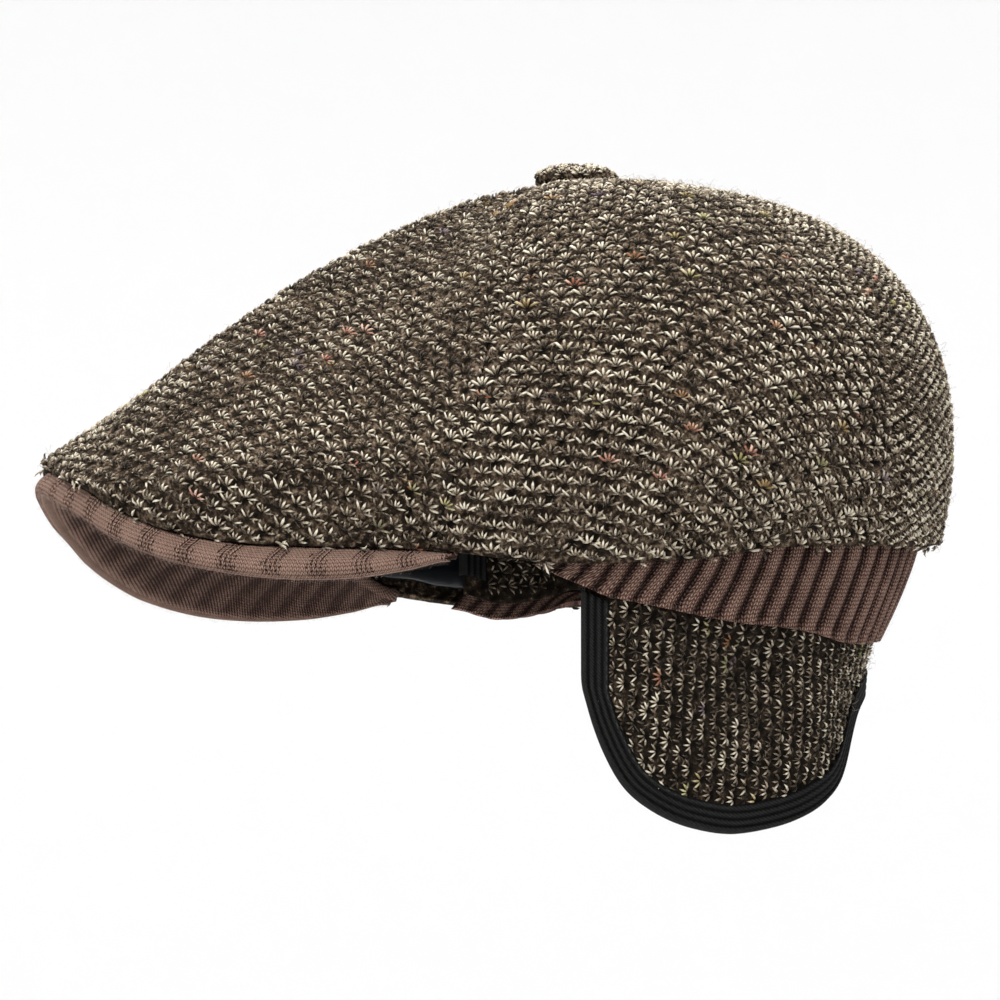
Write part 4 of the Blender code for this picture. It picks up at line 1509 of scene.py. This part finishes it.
class MakeEarflap(bpy.types.Operator):
    """Knitted flap, hanging at the left and turned up inside at the right"""

    bl_idname = "cap.make_earflap"
    bl_label = "Earflap"

    def execute(self, context):
        sizes = context.scene.cap_sizes
        margin = TAPE_WALL + 2 * GAP
        side = math.degrees(margin / FLAP_RADIUS)
        low, high = FLAP_ANGLES[0] + side, FLAP_ANGLES[1] - side

        def spot(across, along, off):
            angle = low + (high - low) * np.clip(across, 0, 1)
            reach = curve(FLAP, "depth", angle) - margin * np.sqrt(1 + edge_slope(angle) ** 2)
            return flap_face(angle, np.clip(along, 0, 1) * reach, off)

        def outside(across, along):
            return spot(across, along, FLAP_WALL / 2)

        def inside(across, along):
            return spot(1 - across, along, -FLAP_WALL / 2)

        out_cloth = Cloth(outside, cells=60)
        in_cloth = Cloth(inside, cells=60)
        pitch, row = sizes.flap_pitch / MM, sizes.flap_row / MM
        across = np.linspace(0.0, 1.0, 232)
        along = np.concatenate([(0.0, 0.006), np.linspace(0.02, 0.98, 44), (0.994, 1.0)])
        across, along = np.meshgrid(across, along)
        flat = out_cloth.sample(out_cloth.flat, across, along)
        hollow = np.clip(np.cos(2 * math.pi * flat[..., 1] / pitch)
                         * np.cos(math.pi * flat[..., 0] / row), 0, 1) ** 2
        edge = np.minimum(ease(0, 0.02, along), ease(0, 0.02, 1 - along))
        edge = np.minimum(edge, np.minimum(ease(0, 0.006, across), ease(0, 0.006, 1 - across)))
        rng = np.random.default_rng(SEEDS["flap"])
        rough = rng.normal(0.0, 0.1, hollow.shape)
        half = FLAP_WALL / 2 * (0.6 + 0.4 * edge)
        outer = spot(across, along, half + (rough - 0.35 * hollow) * edge)
        inner = spot(across, along, -half - rough * edge)
        # Painted shade: the flap's ground is darker all over than the crown's, for the shade under
        # the band and inside the cap, besides the painted shade in its hollows.
        wall = wall_piece("earflap_knit", outer[::-1], inner[::-1], flat[::-1],
                          {"hollow": 0.4 + hollow[::-1]}, finish("knit_ground"))
        pieces = [wall]
        rim = TAPE_WIDTH - margin - 0.6
        # Painted shade on the flap's stars: some on its outside, more on its inside, which faces
        # into the cap.
        for label, cloth, tilt, painted_shade in (("out", out_cloth, -90.0, 0.06),
                                        ("in", in_cloth, 90.0, 0.16)):
            layout = (pitch, row, tilt, (rim, rim, 3.4, rim))
            pieces += set_stitches(f"earflap_{label}", cloth, layout, SEEDS[label],
                                   0.95 * sizes.star_size, flip=True, painted_shade=painted_shade,
                                   stars=FLAP_STARS)
        loose = fibre_guide(out_cloth, FLAP_FIBRES, SEEDS["flap_place"], low=0.15, high=0.72,
                            side=0.04)
        loose["points"] = loose["points"] - loose["normals"] * 0.5
        loose["normals"] = -loose["normals"]
        pieces.append(set_strands("earflap_fibres", loose, FIBRES, 3, finish("loose_fibre"),
                                  SEEDS["flap_fibres"]))
        attach(pieces, "earflap")
        area, cut = out_cloth.area()
        return {"FINISHED"}


def tape_path(count, steps):
    """The flap's free edge as angle and depth: down one front edge, round, and up the other."""
    bottom = np.linspace(*FLAP_ANGLES, count)
    first, last = bottom[0], bottom[-1]
    start = FLAP_OVERLAP + 1.0
    front = np.linspace(start, curve(FLAP, "depth", first), steps + 1)[:-1]
    back = np.linspace(curve(FLAP, "depth", last), start, steps + 1)[1:]
    angle = np.concatenate([np.full(len(front), first), bottom, np.full(len(back), last)])
    depth = np.concatenate([front, curve(FLAP, "depth", bottom), back])
    radius = curve(BAND, "radius", angle) - BAND_WALL
    along = run_of(np.hypot(np.diff(np.radians(angle)) * radius[1:], np.diff(depth)))
    even = np.linspace(0.0, along[-1], int(along[-1] / 1.3))
    angle, depth = np.interp(even, along, angle), np.interp(even, along, depth)
    kernel = np.array((1.0, 2.0, 3.0, 2.0, 1.0)) / 9.0
    for _ in range(2):
        angle[2:-2] = np.convolve(angle, kernel, "valid")
        depth[2:-2] = np.convolve(depth, kernel, "valid")
    return angle, depth, even


def points_at(places, distance, line):
    """Points at given distances along a line."""
    return np.stack([np.interp(places, distance, line[:, k]) for k in range(3)], axis=-1)


class MakeBinding(bpy.types.Operator):
    """Black tape folded over the flap's free edge, with its line of stitches"""

    bl_idname = "cap.make_binding"
    bl_label = "Earflap binding"

    def execute(self, context):
        sizes = context.scene.cap_sizes
        angle, depth, run = tape_path(900, 60)
        radius = curve(BAND, "radius", angle) - BAND_WALL
        along = np.gradient(np.radians(angle) * radius)
        down = np.gradient(depth)
        length = np.hypot(along, down)
        inward_along, inward_down = down / length, -along / length
        face = FLAP_WALL / 2 + GAP + TAPE_WALL
        slot = FLAP_WALL / 2 + GAP

        def spot(inset, off):
            turn = angle + np.degrees(inset * inward_along / radius)
            return flap_face(turn, depth + inset * inward_down, off)

        insets = np.linspace(TAPE_WIDTH, 0.9, 20)
        ridges = TAPE_RIDGE * np.abs(np.sin(math.pi * insets / TAPE_RIDGE_PITCH)) ** 0.7
        ridges[0] = -0.25
        section = [(i, face - 0.2 + r) for i, r in zip(insets, ridges)]
        section += [(0.35, 0.8 * face), (0.05, 0.4 * face), (0.0, 0.0), (0.05, -0.4 * face),
                    (0.35, -0.8 * face)]
        section += [(i, -face + 0.2 - r) for i, r in zip(insets[::-1], ridges[::-1])]
        section += [(TAPE_WIDTH, -slot), (TAPE_WALL, -slot), (TAPE_WALL, slot), (TAPE_WIDTH, slot)]
        points = np.stack([spot(inset, off) for inset, off in section], axis=1)
        # Painted shade: groove darkens the tape between its raised threads and on its inner faces
        # against the flap.
        hollow = 1 - ridges / TAPE_RIDGE
        gaps = np.concatenate([hollow, np.zeros(5), hollow[::-1], np.ones(4)])
        groove = np.broadcast_to(np.clip(gaps, 0, 1), points.shape[:2])
        around = np.cumsum(steps(np.concatenate([points, points[:, :1]], axis=1), 1), axis=1)
        flat = np.stack(np.broadcast_arrays(run[:, None], around), axis=-1)
        tape = tube_piece("earflap_tape", points[::-1], flat[::-1], {"groove": groove[::-1]},
                          finish("woven_tape"))
        pieces = [tape]
        for label, sign in (("out", 1.0), ("in", -1.0)):
            line = spot(TAPE_WIDTH - 1.0, sign * (face - 0.05))
            above = spot(TAPE_WIDTH - 1.0, sign * (face + 1.0))
            distance = run_of(steps(line))
            places = np.arange(1.5, distance[-1] - 2.5, sizes.thread_pitch / MM)
            points = points_at(places, distance, line)
            ahead = points_at(places + 0.5, distance, line)
            over = points_at(places, distance, above)
            count = len(places)
            guide = {"points": points, "normals": unit(over - points), "ups": unit(ahead - points),
                     "tone": np.zeros(count), "accent": np.zeros(count), "size": np.ones(count)}
            pieces.append(set_strands(f"earflap_thread_{label}", guide, THREAD, 5,
                                      finish("thread"), SEEDS["thread"]))
        attach(pieces, "earflap_binding")
        return {"FINISHED"}


class MakeStudio(bpy.types.Operator):
    """Pale floor that curves up all round, soft lights and the photograph's camera"""

    bl_idname = "cap.make_studio"
    bl_label = "Studio"

    def execute(self, context):
        floor = bpy.data.objects.new("studio_floor", studio_mesh())
        context.scene.collection.objects.link(floor)
        for light in LIGHTS:
            add_light(light)
        world = bpy.data.worlds.new("studio_air")
        world.use_nodes = True
        air = world.node_tree.nodes["Background"].inputs
        air["Color"].default_value = (1.0, 1.0, 1.0, 1.0)
        air["Strength"].default_value = AIR_LIGHT
        context.scene.world = world
        context.scene.view_settings.view_transform = "Standard"
        aim, distance = Vector(CAMERA["aim"]), CAMERA["distance"]
        turn, lift = math.radians(CAMERA["turn"]), math.radians(CAMERA["lift"])
        back = Vector((math.sin(turn) * math.cos(lift), -math.cos(turn) * math.cos(lift),
                       math.sin(lift)))
        lens = bpy.data.cameras.new("photo_camera")
        lens.sensor_width = CAMERA["sensor"]
        lens.lens = CAMERA["sensor"] * distance / CAMERA["view_width"]
        lens.clip_start = 0.01
        camera = bpy.data.objects.new("photo_camera", lens)
        camera.location = aim + back * distance
        camera.rotation_euler = (-back).to_track_quat("-Z", "Y").to_euler()
        context.scene.collection.objects.link(camera)
        context.scene.camera = camera
        return {"FINISHED"}


def studio_mesh():
    """A round floor whose edge curves up into a wall."""
    low, flat, corner = FLOOR["height"], FLOOR["flat"], FLOOR["corner"]
    sides, rings = FLOOR["sides"], FLOOR["rings"]
    profile = [(0.02, low), (0.6, low), (flat, low)]
    for step in range(1, rings + 1):
        turn = math.pi / 2 * step / rings
        profile.append((flat + corner * math.sin(turn), low + corner * (1 - math.cos(turn))))
    profile.append((flat + corner, FLOOR["wall"]))
    points, faces = [], []
    for radius, height in profile:
        for k in range(sides):
            turn = 2 * math.pi * k / sides
            points.append((radius * math.cos(turn), radius * math.sin(turn), height))
    for ring in range(len(profile) - 1):
        for k in range(sides):
            n = (k + 1) % sides
            a = ring * sides
            faces.append((a + k, a + sides + k, a + sides + n, a + n))
    faces.append(list(range(sides)))
    mesh = bpy.data.meshes.new("studio_floor")
    mesh.from_pydata(points, [], faces)
    mesh.shade_smooth()
    mesh.materials.append(finish("studio_paper"))
    return mesh


def add_light(light):
    """A square soft light that looks at the cap."""
    lamp = bpy.data.lights.new(light["name"], "AREA")
    lamp.size = light["size"]
    lamp.energy = light["power"]
    thing = bpy.data.objects.new(light["name"], lamp)
    thing.location = light["at"]
    way = Vector((0.0, 0.0, 0.03)) - Vector(light["at"])
    thing.rotation_euler = way.to_track_quat("-Z", "Y").to_euler()
    thing.visible_camera = False
    bpy.context.scene.collection.objects.link(thing)


class CapPanel(bpy.types.Panel):
    """Buttons that build the cap's pieces"""

    bl_idname = "VIEW3D_PT_cap"
    bl_label = "Earflap flat cap"
    bl_space_type = "VIEW_3D"
    bl_region_type = "UI"
    bl_category = "Cap"

    def draw(self, context):
        for settings in (context.scene.cap_sizes, context.scene.cap_colours):
            for name in settings.__annotations__:
                self.layout.prop(settings, name)
        for operator in OPERATORS:
            self.layout.operator(operator.bl_idname)


OPERATORS = (MakeStudio, MakeCrown, MakeButton, MakePeak, MakeBand, MakeLining, MakeEarflap,
             MakeBinding)
CLASSES = (CapSizes, CapColours, *OPERATORS, CapPanel)


def register():
    for item in CLASSES:
        bpy.utils.register_class(item)
    bpy.types.Scene.cap_sizes = bpy.props.PointerProperty(type=CapSizes)
    bpy.types.Scene.cap_colours = bpy.props.PointerProperty(type=CapColours)


def unregister():
    del bpy.types.Scene.cap_sizes
    del bpy.types.Scene.cap_colours
    for item in reversed(CLASSES):
        bpy.utils.unregister_class(item)


def main():
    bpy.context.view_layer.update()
    register()
    for operator in OPERATORS:
        group, name = operator.bl_idname.split(".")
        getattr(getattr(bpy.ops, group), name)()


if __name__ == "__main__":
    main()
